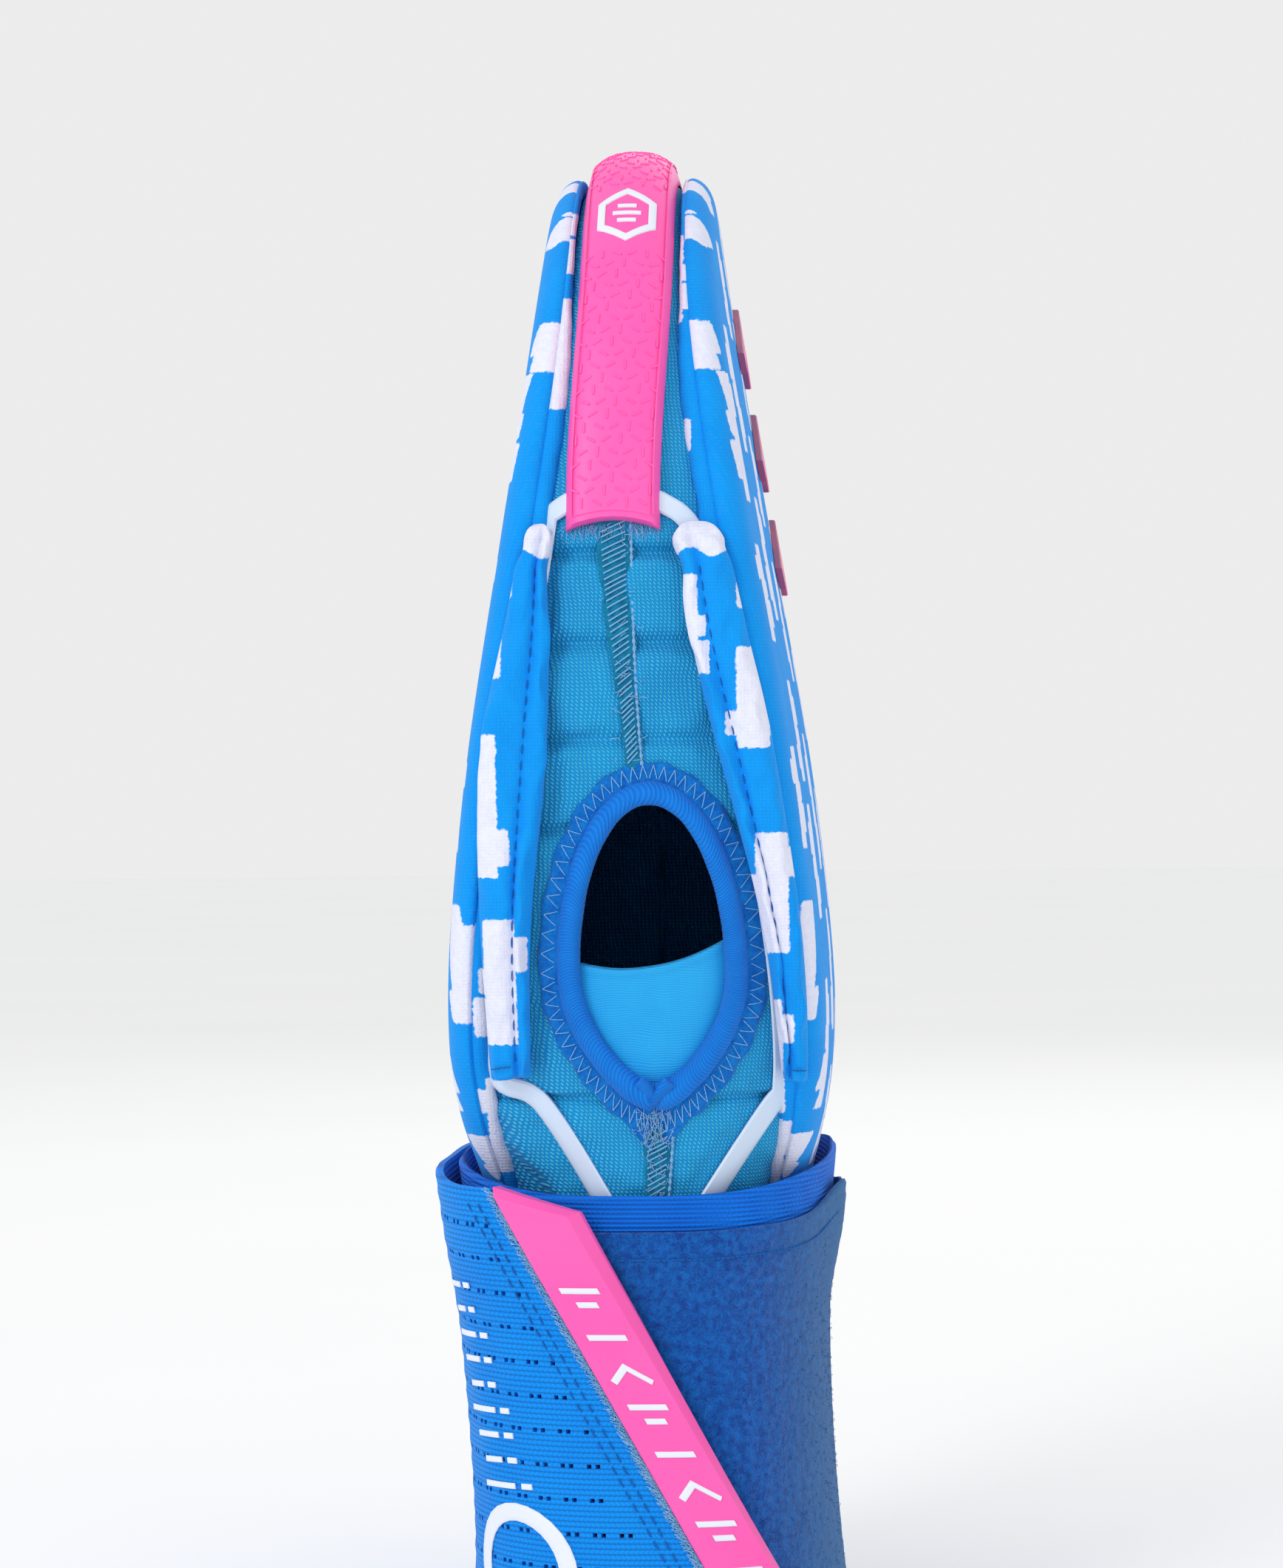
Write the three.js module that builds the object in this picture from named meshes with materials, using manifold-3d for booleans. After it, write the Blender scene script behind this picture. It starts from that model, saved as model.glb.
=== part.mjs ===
// A baseball sliding mitt: two padded slider plates, a quilted mesh body with a thumb hole, a
// moulded bumper round the fingertips, and a wrist cuff closed by a wide hook-and-loop strap.
// Millimetres. +Z runs from the cuff to the fingertips, -Y is the thumb side, +X the palm side.
import * as THREE from "three";
import { mergeVertices } from "three/addons/utils/BufferGeometryUtils.js";
import Module from "manifold-3d";

const wasm = await Module();
wasm.setup();

// ---------------------------------------------------------------- driving dimensions
const GAP = 0.3; // clearance between pieces that touch
const HEEL = 78; // lower end of the mitt body, tucked inside the cuff
const RIM = 86; // top of the cuff at its front and rear

// Half widths along Y and their heights, from the heel to the start of the tip's arc.
const BODY_EDGE = [
  [44.6, HEEL], [48.4, 95], [53.2, 112], [58, 132], [61.5, 160], [61, 190], [57, 218], [47.5, 241], [27, 259.5],
];
const BODY_TIP = 265;
const PLATE_EDGE = [
  [24, HEEL], [37, 93], [48, 110], [56.4, 132], [61, 160], [60.5, 190], [56.5, 217], [46.8, 240], [26.5, 258],
];
const PLATE_TIP = 263.5;

// Smooth functions of height: distance of the plates' outer faces from the middle at Y = 0,
// the plates' thickness, how far their long edges curve in, and where the thumb-side seam runs.
const outerX = profile([[HEEL, 27.2], [88, 29.7], [98, 32.4], [110, 33.8], [130, 33], [160, 29.6], [200, 23], [240, 16.6], [268, 13]]);
const plateDepth = profile([[HEEL, 4], [125, 4.3], [160, 5], [230, 5], [268, 4.4]]);
const crown = profile([[HEEL, 8], [100, 5], [130, 3.5], [268, 3.5]]);
const seamX = profile([[HEEL, 3], [104, 3.8], [150, 1.8], [197, -1.8], [240, 0], [268, 0]]);
const foamDepth = profile([[HEEL, 3.5], [120, 5.2], [170, 4.4], [235, 2.3], [268, 2]]);

const CROWN_WIDTH = 62; // half width at which the edges have curved in by crown(z)
const COVER_SKIN = 1;
const SHELL_THICKNESS = 1.8;
const SHELL_INSET = 4.4;
const LINING_THICKNESS = 0.8;
const PAD_INSET = 7.6; // clear of the mesh body's wall
const GUSSET_THICKNESS = 3.2;
const GUSSET_INSET = 3.5; // how far inside the plate outline the mesh body meets the plates
const GUSSET_POWER = 2.6; // roundness of the mesh body between the seam and the plates

const BUMPER = { half: 7.8, thickness: 2.6, end: 197 };
const GUARD = { bottom: 108, top: 197, base: 1.9, rim: 0.7, height: 3.7 };
const FRAME = { width: 3.4, thickness: 1, margin: 0.5 };
const THUMB = { x: 3.6, bottom: 104, top: 153, half: 13.2, wide: 124, facing: 2.9, binding: 2.1 };

// The cuff's outline at a height: half sizes, the power of its rounded rectangle and its shift in X.
const cuffA = profile([[0, 31], [30, 29.6], [60, 30], [HEEL, 32.2], [90, 33.6]]);
const cuffB = profile([[0, 45.5], [30, 43.8], [60, 45.2], [HEEL, 48.6], [90, 50.6]]);
const cuffPower = profile([[0, 2.5], [HEEL, 3], [90, 3]]);
const cuffShift = profile([[0, 3.2], [40, 1.4], [70, 0.3], [90, 0]]);

const BINDING_HEIGHT = 4;
const LOOP_PANEL = { bottom: 8, top: 80, from: -130, to: 90 };
const STRAP = { bottom: 8, top: 89, seam: 100, sideHinge: 140, frontHinge: 200, hingeGap: 0.6 };
const STRAP_THICKNESS = 1.6;
const TAB = { topX: -23.7, bottomX: 18, topZ: 88, bottomZ: 8, width: 12.5, flange: 6, proud: 0.8, endX: 28 };

const BLUE = 0x0d7fd8;
const CYAN = 0x119fd8;
const PRINT = 0x0a93ea;
const PINK = 0xff5fb4;
const WHITE = 0xdfe8f4;

// ---------------------------------------------------------------- helpers
// A smooth function of height through a few [height, value] points.
function profile(points) {
  const slope = (i) => {
    const a = points[Math.max(i - 1, 0)];
    const b = points[Math.min(i + 1, points.length - 1)];
    return (b[1] - a[1]) / (b[0] - a[0]);
  };
  return (z) => {
    let i = 0;
    while (i < points.length - 2 && z > points[i + 1][0]) i++;
    const [z0, v0] = points[i];
    const [z1, v1] = points[i + 1];
    const t = THREE.MathUtils.clamp((z - z0) / (z1 - z0), 0, 1);
    const h = (z1 - z0) * t * (1 - t);
    const mix = t * t * (3 - 2 * t);
    return v0 + (v1 - v0) * mix + h * ((1 - t) * slope(i) - t * slope(i + 1));
  };
}

// The curve up the thumb side, over the fingertips and down the little-finger side.
function edgeCurve(side, tip) {
  const up = side.map(([y, z]) => new THREE.Vector3(0, -y, z));
  const down = side.map(([y, z]) => new THREE.Vector3(0, y, z)).reverse();
  return new THREE.CatmullRomCurve3([...up, new THREE.Vector3(0, 0, tip), ...down]);
}

const bodyCurve = edgeCurve(BODY_EDGE, BODY_TIP);
const plateCurve = edgeCurve(PLATE_EDGE, PLATE_TIP);

// Outward normal of an edge curve, in the YZ plane.
function edgeNormal(curve, t) {
  const tangent = curve.getTangent(THREE.MathUtils.clamp(t, 0.001, 0.999));
  return new THREE.Vector3(0, -tangent.z, tangent.y);
}

// The parameter at which the body curve's thumb side reaches a height.
function paramAt(z) {
  let low = 0;
  let high = 0.5;
  for (let i = 0; i < 30; i++) {
    const middle = (low + high) / 2;
    if (bodyCurve.getPoint(middle).z < z) low = middle;
    else high = middle;
  }
  return (low + high) / 2;
}

// A closed sheet solid between two faces, each a function of u and v from 0 to 1. `around` joins
// u = 1 to u = 0, and `pinched` means that each face is a single point at v = 0.
function slab(nu, nv, front, back, { around = false, pinched = false } = {}) {
  const columns = around ? nu : nu + 1;
  const points = [];
  for (const face of [front, back])
    for (let i = 0; i < columns; i++)
      for (let j = 0; j <= nv; j++) points.push(...face(i / nu, j / nv).toArray());
  const at = (side, i, j) => side * columns * (nv + 1) + (i % columns) * (nv + 1) + j;
  const faces = [];
  const quad = (a, b, c, d) => faces.push(a, b, c, a, c, d);
  for (let i = 0; i < nu; i++) {
    for (let j = 0; j < nv; j++) {
      quad(at(0, i, j), at(0, i + 1, j), at(0, i + 1, j + 1), at(0, i, j + 1));
      quad(at(1, i, j), at(1, i, j + 1), at(1, i + 1, j + 1), at(1, i + 1, j));
    }
    quad(at(0, i, nv), at(0, i + 1, nv), at(1, i + 1, nv), at(1, i, nv));
    if (!pinched) quad(at(0, i, 0), at(1, i, 0), at(1, i + 1, 0), at(0, i + 1, 0));
  }
  for (let j = 0; j < nv && !around; j++) {
    quad(at(0, 0, j), at(0, 0, j + 1), at(1, 0, j + 1), at(1, 0, j));
    quad(at(0, nu, j), at(1, nu, j), at(1, nu, j + 1), at(0, nu, j + 1));
  }
  return closedGeometry(points, faces);
}

// Merges shared points, drops faces without area and turns the faces outwards.
function closedGeometry(points, faces) {
  const raw = new THREE.BufferGeometry();
  raw.setAttribute("position", new THREE.Float32BufferAttribute(points, 3));
  raw.setIndex(faces);
  const merged = mergeVertices(raw, 1e-3);
  const index = merged.index.array;
  const kept = [];
  for (let i = 0; i < index.length; i += 3) {
    const [a, b, c] = [index[i], index[i + 1], index[i + 2]];
    if (a !== b && b !== c && c !== a) kept.push(a, b, c);
  }
  const corner = (i) => new THREE.Vector3().fromBufferAttribute(merged.getAttribute("position"), i);
  let volume = 0;
  for (let i = 0; i < kept.length; i += 3)
    volume += corner(kept[i]).dot(corner(kept[i + 1]).cross(corner(kept[i + 2])));
  merged.setIndex(volume < 0 ? kept.reverse() : kept);
  merged.computeVertexNormals();
  return merged;
}

function toSolid(geometry) {
  return new wasm.Manifold(
    new wasm.Mesh({
      numProp: 3,
      vertProperties: new Float32Array(geometry.getAttribute("position").array),
      triVerts: new Uint32Array(geometry.index.array),
    }),
  );
}

function fromSolid(solid) {
  const mesh = solid.getMesh();
  const geometry = new THREE.BufferGeometry();
  geometry.setAttribute("position", new THREE.BufferAttribute(new Float32Array(mesh.vertProperties), 3));
  geometry.setIndex(new THREE.BufferAttribute(mesh.triVerts, 1));
  geometry.computeVertexNormals();
  return geometry;
}

function finish(color, roughness, metalness = 0) {
  return new THREE.MeshStandardMaterial({ color, roughness, metalness });
}

const mitt = new THREE.Group();

function piece(name, geometry, material) {
  const mesh = new THREE.Mesh(geometry, material);
  mesh.name = name;
  mitt.add(mesh);
}

const lerp = THREE.MathUtils.lerp;

// ---------------------------------------------------------------- plates
const OUTLINE_STEPS = 32;
const HEEL_SHARE = 0.12; // share of the plate's outline that is its straight heel
const PLATE_CENTRE = new THREE.Vector3(0, 0, 165);

// A point of the plate's closed outline, moved in by `inset`.
function platePoint(u, inset) {
  if (u < 1 - HEEL_SHARE) {
    const t = u / (1 - HEEL_SHARE);
    const lift = Math.min(1, t * 12, (1 - t) * 12); // the corners also rise from the heel
    const point = plateCurve.getPoint(t).addScaledVector(edgeNormal(plateCurve, t), -inset);
    point.z += inset * (1 - lift);
    return point;
  }
  const y = lerp(1, -1, (u - 1 + HEEL_SHARE) / HEEL_SHARE) * (PLATE_EDGE[0][0] - inset);
  return new THREE.Vector3(0, y, HEEL + inset);
}

// Sets a flat point of the plate at a depth below the plate's outer face, on side -1 or +1.
function onPlate(side, point, depth) {
  const drop = crown(point.z) * (point.y / CROWN_WIDTH) ** 2;
  return new THREE.Vector3(side * (outerX(point.z) - drop - depth), point.y, point.z);
}

// One face of a plate layer, as a function of u round the outline and v from the centre to the
// rim. Each ring is [inset, depth as a function of z]; the first is shrunk to the centre.
function plateFace(side, rings) {
  return (u, v) => {
    const k = Math.round(v * rings.length);
    if (k === 0) return onPlate(side, PLATE_CENTRE, rings[0][1](PLATE_CENTRE.z));
    const [inset, depth] = rings[k - 1];
    const point = platePoint(u, inset);
    if (k === 1) point.lerp(PLATE_CENTRE, 0.5);
    return onPlate(side, point, depth(point.z));
  };
}

const at = (depth) => () => depth;
const toInside = (inset) => (z) => plateDepth(z) - inset;

// The printed cover is a shallow tray: a face and a rounded rim that stands as deep as the plate.
function coverTray(side) {
  const outside = [[14, at(0)], [14, at(0)], [5, at(0)], [1.2, at(0.5)], [0, at(2)], [0.3, toInside(0)]];
  const inside = [[14, at(1)], [14, at(1)], [5.4, at(1)], [2.2, at(1.5)], [1.2, at(2.2)], [1.3, toInside(0)]];
  return slab(OUTLINE_STEPS, outside.length, plateFace(side, outside), plateFace(side, inside), {
    around: true,
    pinched: true,
  });
}

// A layer inside the cover, between two depths.
function plateLayer(side, inset, top, bottom) {
  const rings = (depth) => [[14, depth], [14, depth], [(14 + inset) / 2, depth], [inset, depth]];
  return slab(OUTLINE_STEPS, 4, plateFace(side, rings(top)), plateFace(side, rings(bottom)), {
    around: true,
    pinched: true,
  });
}

// A raised chevron on a plate's outer face, pointing to the fingertips.
function badge(side, z) {
  const arm = 15;
  const stroke = 4.5;
  const shape = new THREE.Shape();
  shape.moveTo(-arm, 0).lineTo(0, arm * 0.6).lineTo(arm, 0).lineTo(arm, stroke);
  shape.lineTo(0, arm * 0.6 + stroke).lineTo(-arm, stroke).closePath();
  const solid = new THREE.ExtrudeGeometry(shape, { depth: 1.2, bevelEnabled: false, steps: 1 });
  solid.deleteAttribute("normal");
  solid.deleteAttribute("uv");
  const merged = mergeVertices(solid, 1e-3);
  const position = merged.getAttribute("position");
  for (let i = 0; i < position.count; i++) {
    const p = new THREE.Vector3(0, position.getX(i), z + position.getY(i));
    const q = onPlate(side, p, -GAP - position.getZ(i));
    position.setXYZ(i, q.x, q.y, q.z);
  }
  return closedGeometry(Array.from(position.array), Array.from(merged.index.array));
}

for (const [side, name] of [[-1, "back"], [1, "palm"]]) {
  const shellTop = COVER_SKIN + 0.4;
  const padTop = shellTop + SHELL_THICKNESS + 0.4;
  const padBottom = (z) => plateDepth(z) + foamDepth(z);
  const liningTop = (z) => padBottom(z) + GAP;
  const liningBottom = (z) => liningTop(z) + LINING_THICKNESS;
  piece(`${name}_cover`, coverTray(side), finish(PRINT, 0.9));
  piece(`${name}_slider_plate`, plateLayer(side, SHELL_INSET, at(shellTop), at(padTop - 0.4)), finish(WHITE, 0.45));
  piece(`${name}_foam_pad`, plateLayer(side, PAD_INSET, at(padTop), padBottom), finish(0x2c3138, 0.95));
  piece(`${name}_lining`, plateLayer(side, PAD_INSET + 1, liningTop, liningBottom), finish(CYAN, 0.9));
  [236, 217, 198].forEach((z, i) => piece(`${name}_badge_${i + 1}`, badge(side, z - 9), finish(PINK, 0.4)));
}

// ---------------------------------------------------------------- mesh body
// X where the mesh body meets a plate's inner side.
function gussetEnd(side, t) {
  const end = plateCurve.getPoint(t);
  end.addScaledVector(edgeNormal(plateCurve, t), -GUSSET_INSET);
  return onPlate(side, end, plateDepth(end.z) + GAP);
}

// A point of the mesh body's outer surface at distance x from the middle, on the edge at t.
function bodyPoint(t, x) {
  const seam = t < 0.5 ? seamX(bodyCurve.getPoint(t).z) : 0;
  const side = x < seam ? -1 : 1;
  const end = gussetEnd(side, t);
  const share = THREE.MathUtils.clamp((x - seam) / (end.x - seam), 0, 1.25);
  const mid = bodyCurve.getPoint(t);
  const bend = share ** GUSSET_POWER;
  return new THREE.Vector3(x, lerp(mid.y, end.y, bend), lerp(mid.z, end.z, bend));
}

// The same point lifted straight out of the mitt's edge.
function bodyLift(t, x, lift) {
  return bodyPoint(t, x).addScaledVector(edgeNormal(bodyCurve, t), lift);
}

// The thumb hole's outline at an angle, grown by `grow`: pointed below, round above.
function thumbOutline(angle, grow = 0) {
  const c = Math.cos(angle);
  const s = Math.sin(angle);
  const up = s > 0;
  const reach = up ? THUMB.top - THUMB.wide : THUMB.wide - THUMB.bottom;
  const width = up ? 1 : 1 - 0.3 * s * s;
  const x = THUMB.x + (THUMB.half + grow) * c * width;
  return [x, THUMB.wide + (reach + grow * (up ? 1 : 1.25)) * s];
}

function thumbPrism(grow) {
  const outline = Array.from({ length: 32 }, (_, i) => thumbOutline((i / 32) * Math.PI * 2, grow));
  const shape = new THREE.Shape(outline.map(([x, z]) => new THREE.Vector2(x, z)));
  const solid = new THREE.ExtrudeGeometry(shape, { depth: 60, bevelEnabled: false, steps: 1 });
  solid.deleteAttribute("normal");
  solid.deleteAttribute("uv");
  solid.rotateX(Math.PI / 2); // the outline's second coordinate becomes height, the depth -Y
  solid.translate(0, -30, 0);
  return toSolid(mergeVertices(solid, 1e-3));
}

function gusset(side) {
  const face = (lift) => (u, v) => {
    const seam = u < 0.5 ? seamX(bodyCurve.getPoint(u).z) : 0;
    const end = gussetEnd(side, u);
    const x = lerp(seam + side * GAP * 0.5, end.x, v);
    const point = bodyPoint(u, x);
    const inward = edgeNormal(bodyCurve, u).multiplyScalar(-1);
    return point.addScaledVector(inward, lift);
  };
  const whole = toSolid(slab(40, 4, face(0), face(GUSSET_THICKNESS)));
  return fromSolid(whole.subtract(thumbPrism(THUMB.binding * 0.9)));
}

piece("back_mesh_gusset", gusset(-1), finish(CYAN, 0.85));
piece("palm_mesh_gusset", gusset(1), finish(CYAN, 0.85));

// A strip laid along the edge: route(u) gives its [t, x], half(u) its half width along X, and
// place(t, x, lift) the point at a height over the surface that it lies on.
function edgeStrip(nu, nv, route, half, low, high, { ends = 0.5, place = bodyLift } = {}) {
  const face = (top) => (u, v) => {
    const [t, x] = route(u);
    const across = lerp(-1, 1, v);
    const rim = 1 - 0.55 * Math.abs(across) ** 4;
    const tail = Math.min(1, ends + Math.min(u, 1 - u) * 8);
    return place(t, x + across * half(u), top ? low + (high - low) * rim * tail : low);
  };
  return slab(nu, nv, face(true), face(false));
}

function bumper() {
  const from = paramAt(BUMPER.end);
  const route = (u) => {
    const t = lerp(from, 1 - from, u);
    return [t, t < 0.5 ? seamX(bodyCurve.getPoint(t).z) : 0];
  };
  return edgeStrip(30, 4, route, () => BUMPER.half, 0.5, 0.5 + BUMPER.thickness, { ends: 0.8 });
}

piece("tip_bumper", bumper(), finish(PINK, 0.5));

// The padded guards beside the hand, over each plate's edge. Distances of their two sides from
// the seam's line on the thumb side, and from the middle on the other.
const guardOuter = profile([[GUARD.bottom, 24.2], [140, 25], [162, 24], [180, 20.2], [GUARD.top, 16.6]]);
const guardInner = profile([
  [GUARD.bottom, 21], [126, 19.8], [138, 18.2], [150, 16], [163, 13.7], [180, 11.6], [GUARD.top, 11],
]);

// A point over both the mesh body and the plates' edges.
function guardPoint(t, x, lift) {
  const seam = t < 0.5 ? seamX(bodyCurve.getPoint(t).z) : 0;
  const side = x < seam ? -1 : 1;
  const end = gussetEnd(side, t);
  const share = THREE.MathUtils.clamp((x - seam) / (end.x - seam), 0, 1);
  const near = bodyLift(t, seam, lift);
  const far = plateCurve.getPoint(t).addScaledVector(edgeNormal(plateCurve, t), lift - GUARD.base + GUARD.rim);
  const bend = share ** GUSSET_POWER;
  return new THREE.Vector3(x, lerp(near.y, far.y, bend), lerp(near.z, far.z, bend));
}

function guard(side, edge) {
  const height = (u) => lerp(GUARD.bottom, GUARD.top, u);
  const inner = (z) => guardInner(z) + (edge < 0 ? side * seamX(z) : 0);
  const route = (u) => {
    const z = height(u);
    const t = paramAt(z);
    return [edge < 0 ? t : 1 - t, (side * (guardOuter(z) + inner(z))) / 2];
  };
  const half = (u) => (guardOuter(height(u)) - inner(height(u))) / 2;
  return edgeStrip(14, 4, route, half, GUARD.base, GUARD.base + GUARD.height, { place: guardPoint });
}

// The white frame strips: from the bumper's end, down beneath a guard's outer side, then under
// the guard's lower end and in towards the seam at the cuff. Distances from the seam's line.
const FRAME_ROUTE = [
  [10.6, 204], [12.8, 199.5], [17, 190], [21, 176], [25, 160], [28, 140], [29, 122], [28, 111],
  [26.5, 105.5], [21.5, 103.5], [17.6, 99], [7.7, 83],
];

function frameStrip(side, edge) {
  const curve = new THREE.CatmullRomCurve3(FRAME_ROUTE.map(([x, z]) => new THREE.Vector3(x, 0, z)));
  const face = (lift) => (u, v) => {
    const point = curve.getPointAt(u);
    const tangent = curve.getTangentAt(u);
    const offset = (v - 0.5) * FRAME.width;
    const t = paramAt(point.z - tangent.x * offset);
    const edgeT = edge < 0 ? t : 1 - t;
    const seam = edge < 0 ? seamX(point.z) : 0;
    const limit = Math.abs(gussetEnd(side, edgeT).x) - FRAME.margin;
    const centre = Math.min(side * seam + point.x, limit - FRAME.width / 2);
    return bodyLift(edgeT, side * (centre + tangent.z * offset), lift);
  };
  return slab(30, 1, face(GAP + FRAME.thickness), face(GAP));
}

for (const [side, name] of [[-1, "back"], [1, "palm"]])
  for (const [edge, where] of [[-1, "thumb"], [1, "little_finger"]]) {
    piece(`${name}_${where}_guard`, guard(side, edge), finish(PRINT, 0.9));
    piece(`${name}_${where}_frame_strip`, frameStrip(side, edge), finish(WHITE, 0.4));
  }

// Raised overlocked seams where the mesh body's halves meet.
function seam(from, to, edge, steps) {
  const route = (u) => {
    const z = lerp(from, to, u);
    const t = paramAt(z);
    return edge < 0 ? [t, seamX(z)] : [1 - t, 0];
  };
  return edgeStrip(steps, 2, route, () => 1.5, GAP, GAP + 0.9);
}

piece("thumb_side_upper_seam", seam(THUMB.top + THUMB.facing + 2, BUMPER.end - 1.5, -1, 8), finish(BLUE, 0.8));
piece("thumb_side_lower_seam", seam(83, THUMB.bottom - THUMB.facing - 5, -1, 3), finish(BLUE, 0.8));
piece("little_finger_seam", seam(83, BUMPER.end - 1.5, 1, 20), finish(BLUE, 0.8));

// ---------------------------------------------------------------- thumb hole
function thumbPoint(angle, grow, lift) {
  const [x, z] = thumbOutline(angle, grow);
  return bodyLift(paramAt(z), x, lift);
}

function thumbFacing() {
  const face = (lift) => (u, v) =>
    thumbPoint(u * Math.PI * 2, lerp(THUMB.binding + GAP, THUMB.binding + THUMB.facing, v), lift);
  return slab(32, 1, face(GAP + 0.8), face(GAP), { around: true });
}

function thumbBinding() {
  const ring = (lift) => (u, v) => {
    const grow = lerp(-0.9, 1, v) * THUMB.binding;
    const bulge = Math.sqrt(Math.max(0, 1 - (2 * v - 1) ** 2)) * THUMB.binding * 0.9;
    return thumbPoint(u * Math.PI * 2, grow, lift > 0 ? GAP + 0.8 + bulge : GAP);
  };
  return slab(32, 4, ring(1), ring(0), { around: true });
}

// The stretch sleeve that hugs the thumb's root: it fills the hole's lower part.
function thumbSleeve() {
  const top = THUMB.wide + 3;
  const face = (depth) => (u, v) => {
    const z = lerp(THUMB.bottom + 4, top, v);
    const s = (z - THUMB.wide) / (THUMB.wide - THUMB.bottom);
    const width = Math.sqrt(Math.max(0, 1 - s * s)) * (s < 0 ? 1 - 0.3 * s * s : 1);
    const across = lerp(-1, 1, u);
    const x = THUMB.x + across * (THUMB.half * width - 2.6);
    const bow = 2.2 * (1 - across * across) * v;
    return bodyLift(paramAt(z), x, bow - depth);
  };
  return slab(8, 4, face(0.6), face(1.5));
}

piece("thumb_hole_facing", thumbFacing(), finish(BLUE, 0.85));
piece("thumb_hole_binding", thumbBinding(), finish(BLUE, 0.85));
piece("thumb_sleeve", thumbSleeve(), finish(CYAN, 0.7));

// ---------------------------------------------------------------- cuff
// A point of the cuff at an angle in degrees (-90 is the thumb side, 180 the back of the hand),
// moved out by `out` from the elastic's outer face.
function cuffPoint(degrees, z, out) {
  const a = THREE.MathUtils.degToRad(degrees);
  const power = 2 / cuffPower(z);
  const x = Math.sign(Math.cos(a)) * Math.abs(Math.cos(a)) ** power * (cuffA(z) + out);
  const y = Math.sign(Math.sin(a)) * Math.abs(Math.sin(a)) ** power * (cuffB(z) + out);
  return new THREE.Vector3(x + cuffShift(z), y, z);
}

// The angle, from the front, at which the cuff has a given X on its thumb side.
function frontAngle(x, z, out) {
  const share = THREE.MathUtils.clamp((x - cuffShift(z)) / (cuffA(z) + out), -1, 1);
  const c = Math.sign(share) * Math.abs(share) ** (cuffPower(z) / 2);
  return 360 - THREE.MathUtils.radToDeg(Math.acos(c));
}

const rimRise = (degrees) => 4 * Math.cos(THREE.MathUtils.degToRad(degrees)) ** 2;

// A band right round the cuff, from `low` to top(degrees), between two distances out.
function band(nu, nv, low, top, inner, outer) {
  const face = (out) => (u, v) => {
    const degrees = u * 360;
    return cuffPoint(degrees, lerp(low, top(degrees), v), out);
  };
  return slab(nu, nv, face(outer), face(inner), { around: true });
}

piece("cuff_bottom_binding", band(36, 1, 0, () => BINDING_HEIGHT, -3.4, 0.6), finish(BLUE, 0.9));
piece("cuff_lining", band(36, 5, BINDING_HEIGHT + GAP, () => 73, -3.1, -2), finish(BLUE, 0.9));
piece("cuff_elastic", band(36, 6, BINDING_HEIGHT + GAP, (d) => RIM + rimRise(d), -1.4, 0), finish(BLUE, 0.85));

function loopPanel() {
  const face = (out) => (u, v) =>
    cuffPoint(
      lerp(LOOP_PANEL.from, LOOP_PANEL.to, u),
      lerp(LOOP_PANEL.bottom, LOOP_PANEL.top + 0.5 * rimRise(lerp(LOOP_PANEL.from, LOOP_PANEL.to, u)), v),
      out,
    );
  return slab(22, 6, face(1.5), face(0.5));
}

piece("loop_panel", loopPanel(), finish(0x0a5fb4, 0.95));

// ---------------------------------------------------------------- strap
// How far the strap's inner face stands off the elastic: it climbs over the loop panel.
function strapOut(degrees) {
  return 0.6 + 3.6 * THREE.MathUtils.smoothstep(degrees, 165, 225);
}

// X of the strap's slanting free edge at a height.
function freeEdgeX(z) {
  return lerp(TAB.bottomX, TAB.topX, (z - TAB.bottomZ) / (TAB.topZ - TAB.bottomZ));
}

const strapTop = (degrees) => STRAP.top - 1.5 * THREE.MathUtils.smoothstep(degrees, 190, 225);

// A length of the strap between two angles; `to` may depend on the height.
function strapLength(nu, from, to) {
  const face = (extra) => (u, v) => {
    const z = lerp(STRAP.bottom, STRAP.top - 1.5, v);
    const degrees = lerp(from, to(z), u);
    const height = lerp(STRAP.bottom, strapTop(degrees), v);
    return cuffPoint(degrees, height, strapOut(degrees) + extra);
  };
  return slab(nu, 6, face(STRAP_THICKNESS), face(0));
}

const halfHinge = STRAP.hingeGap / 2 / 0.62; // degrees that take up half of a hinge's gap
const edgeAngle = (z, out, shift = 0) => frontAngle(freeEdgeX(z) + shift, z, out);

piece("strap_sewn_end", strapLength(5, STRAP.seam, () => STRAP.sideHinge - halfHinge), finish(BLUE, 0.85));
piece(
  "strap_side_panel",
  strapLength(6, STRAP.sideHinge + halfHinge, () => STRAP.frontHinge - halfHinge),
  finish(BLUE, 0.85),
);
piece(
  "strap_front_panel",
  strapLength(12, STRAP.frontHinge + halfHinge, (z) => edgeAngle(z, 4, -GAP)),
  finish(BLUE, 0.85),
);

// A patch along the strap's free edge, between two shifts of that edge.
function alongEdge(nu, from, to, low, high, inner, outer) {
  const face = (out) => (u, v) => {
    const z = lerp(low, high, v);
    const x = Math.min(freeEdgeX(z) + lerp(from, to, u), lerp(TAB.endX - 3.5, TAB.endX, u));
    return cuffPoint(frontAngle(x, z, 4), z, out(u));
  };
  return slab(nu, 8, face(outer), face(inner));
}

piece("hook_patch", alongEdge(6, -10, TAB.width - 1, 14, 72, () => 2.2, () => 2.9), finish(0x0b3c78, 0.8));
piece("tab_sewing_flange", alongEdge(3, -TAB.flange, -GAP, 12, 84, () => 3.2, () => 3.7), finish(PINK, 0.5));

const tabOuter = (u) => 4.2 + STRAP_THICKNESS + TAB.proud - (u > 0.99 ? 2 : 0);
piece(
  "pull_tab",
  alongEdge(4, GAP, TAB.width, TAB.bottomZ, TAB.topZ, () => 3.2, tabOuter),
  finish(PINK, 0.45),
);

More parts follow.
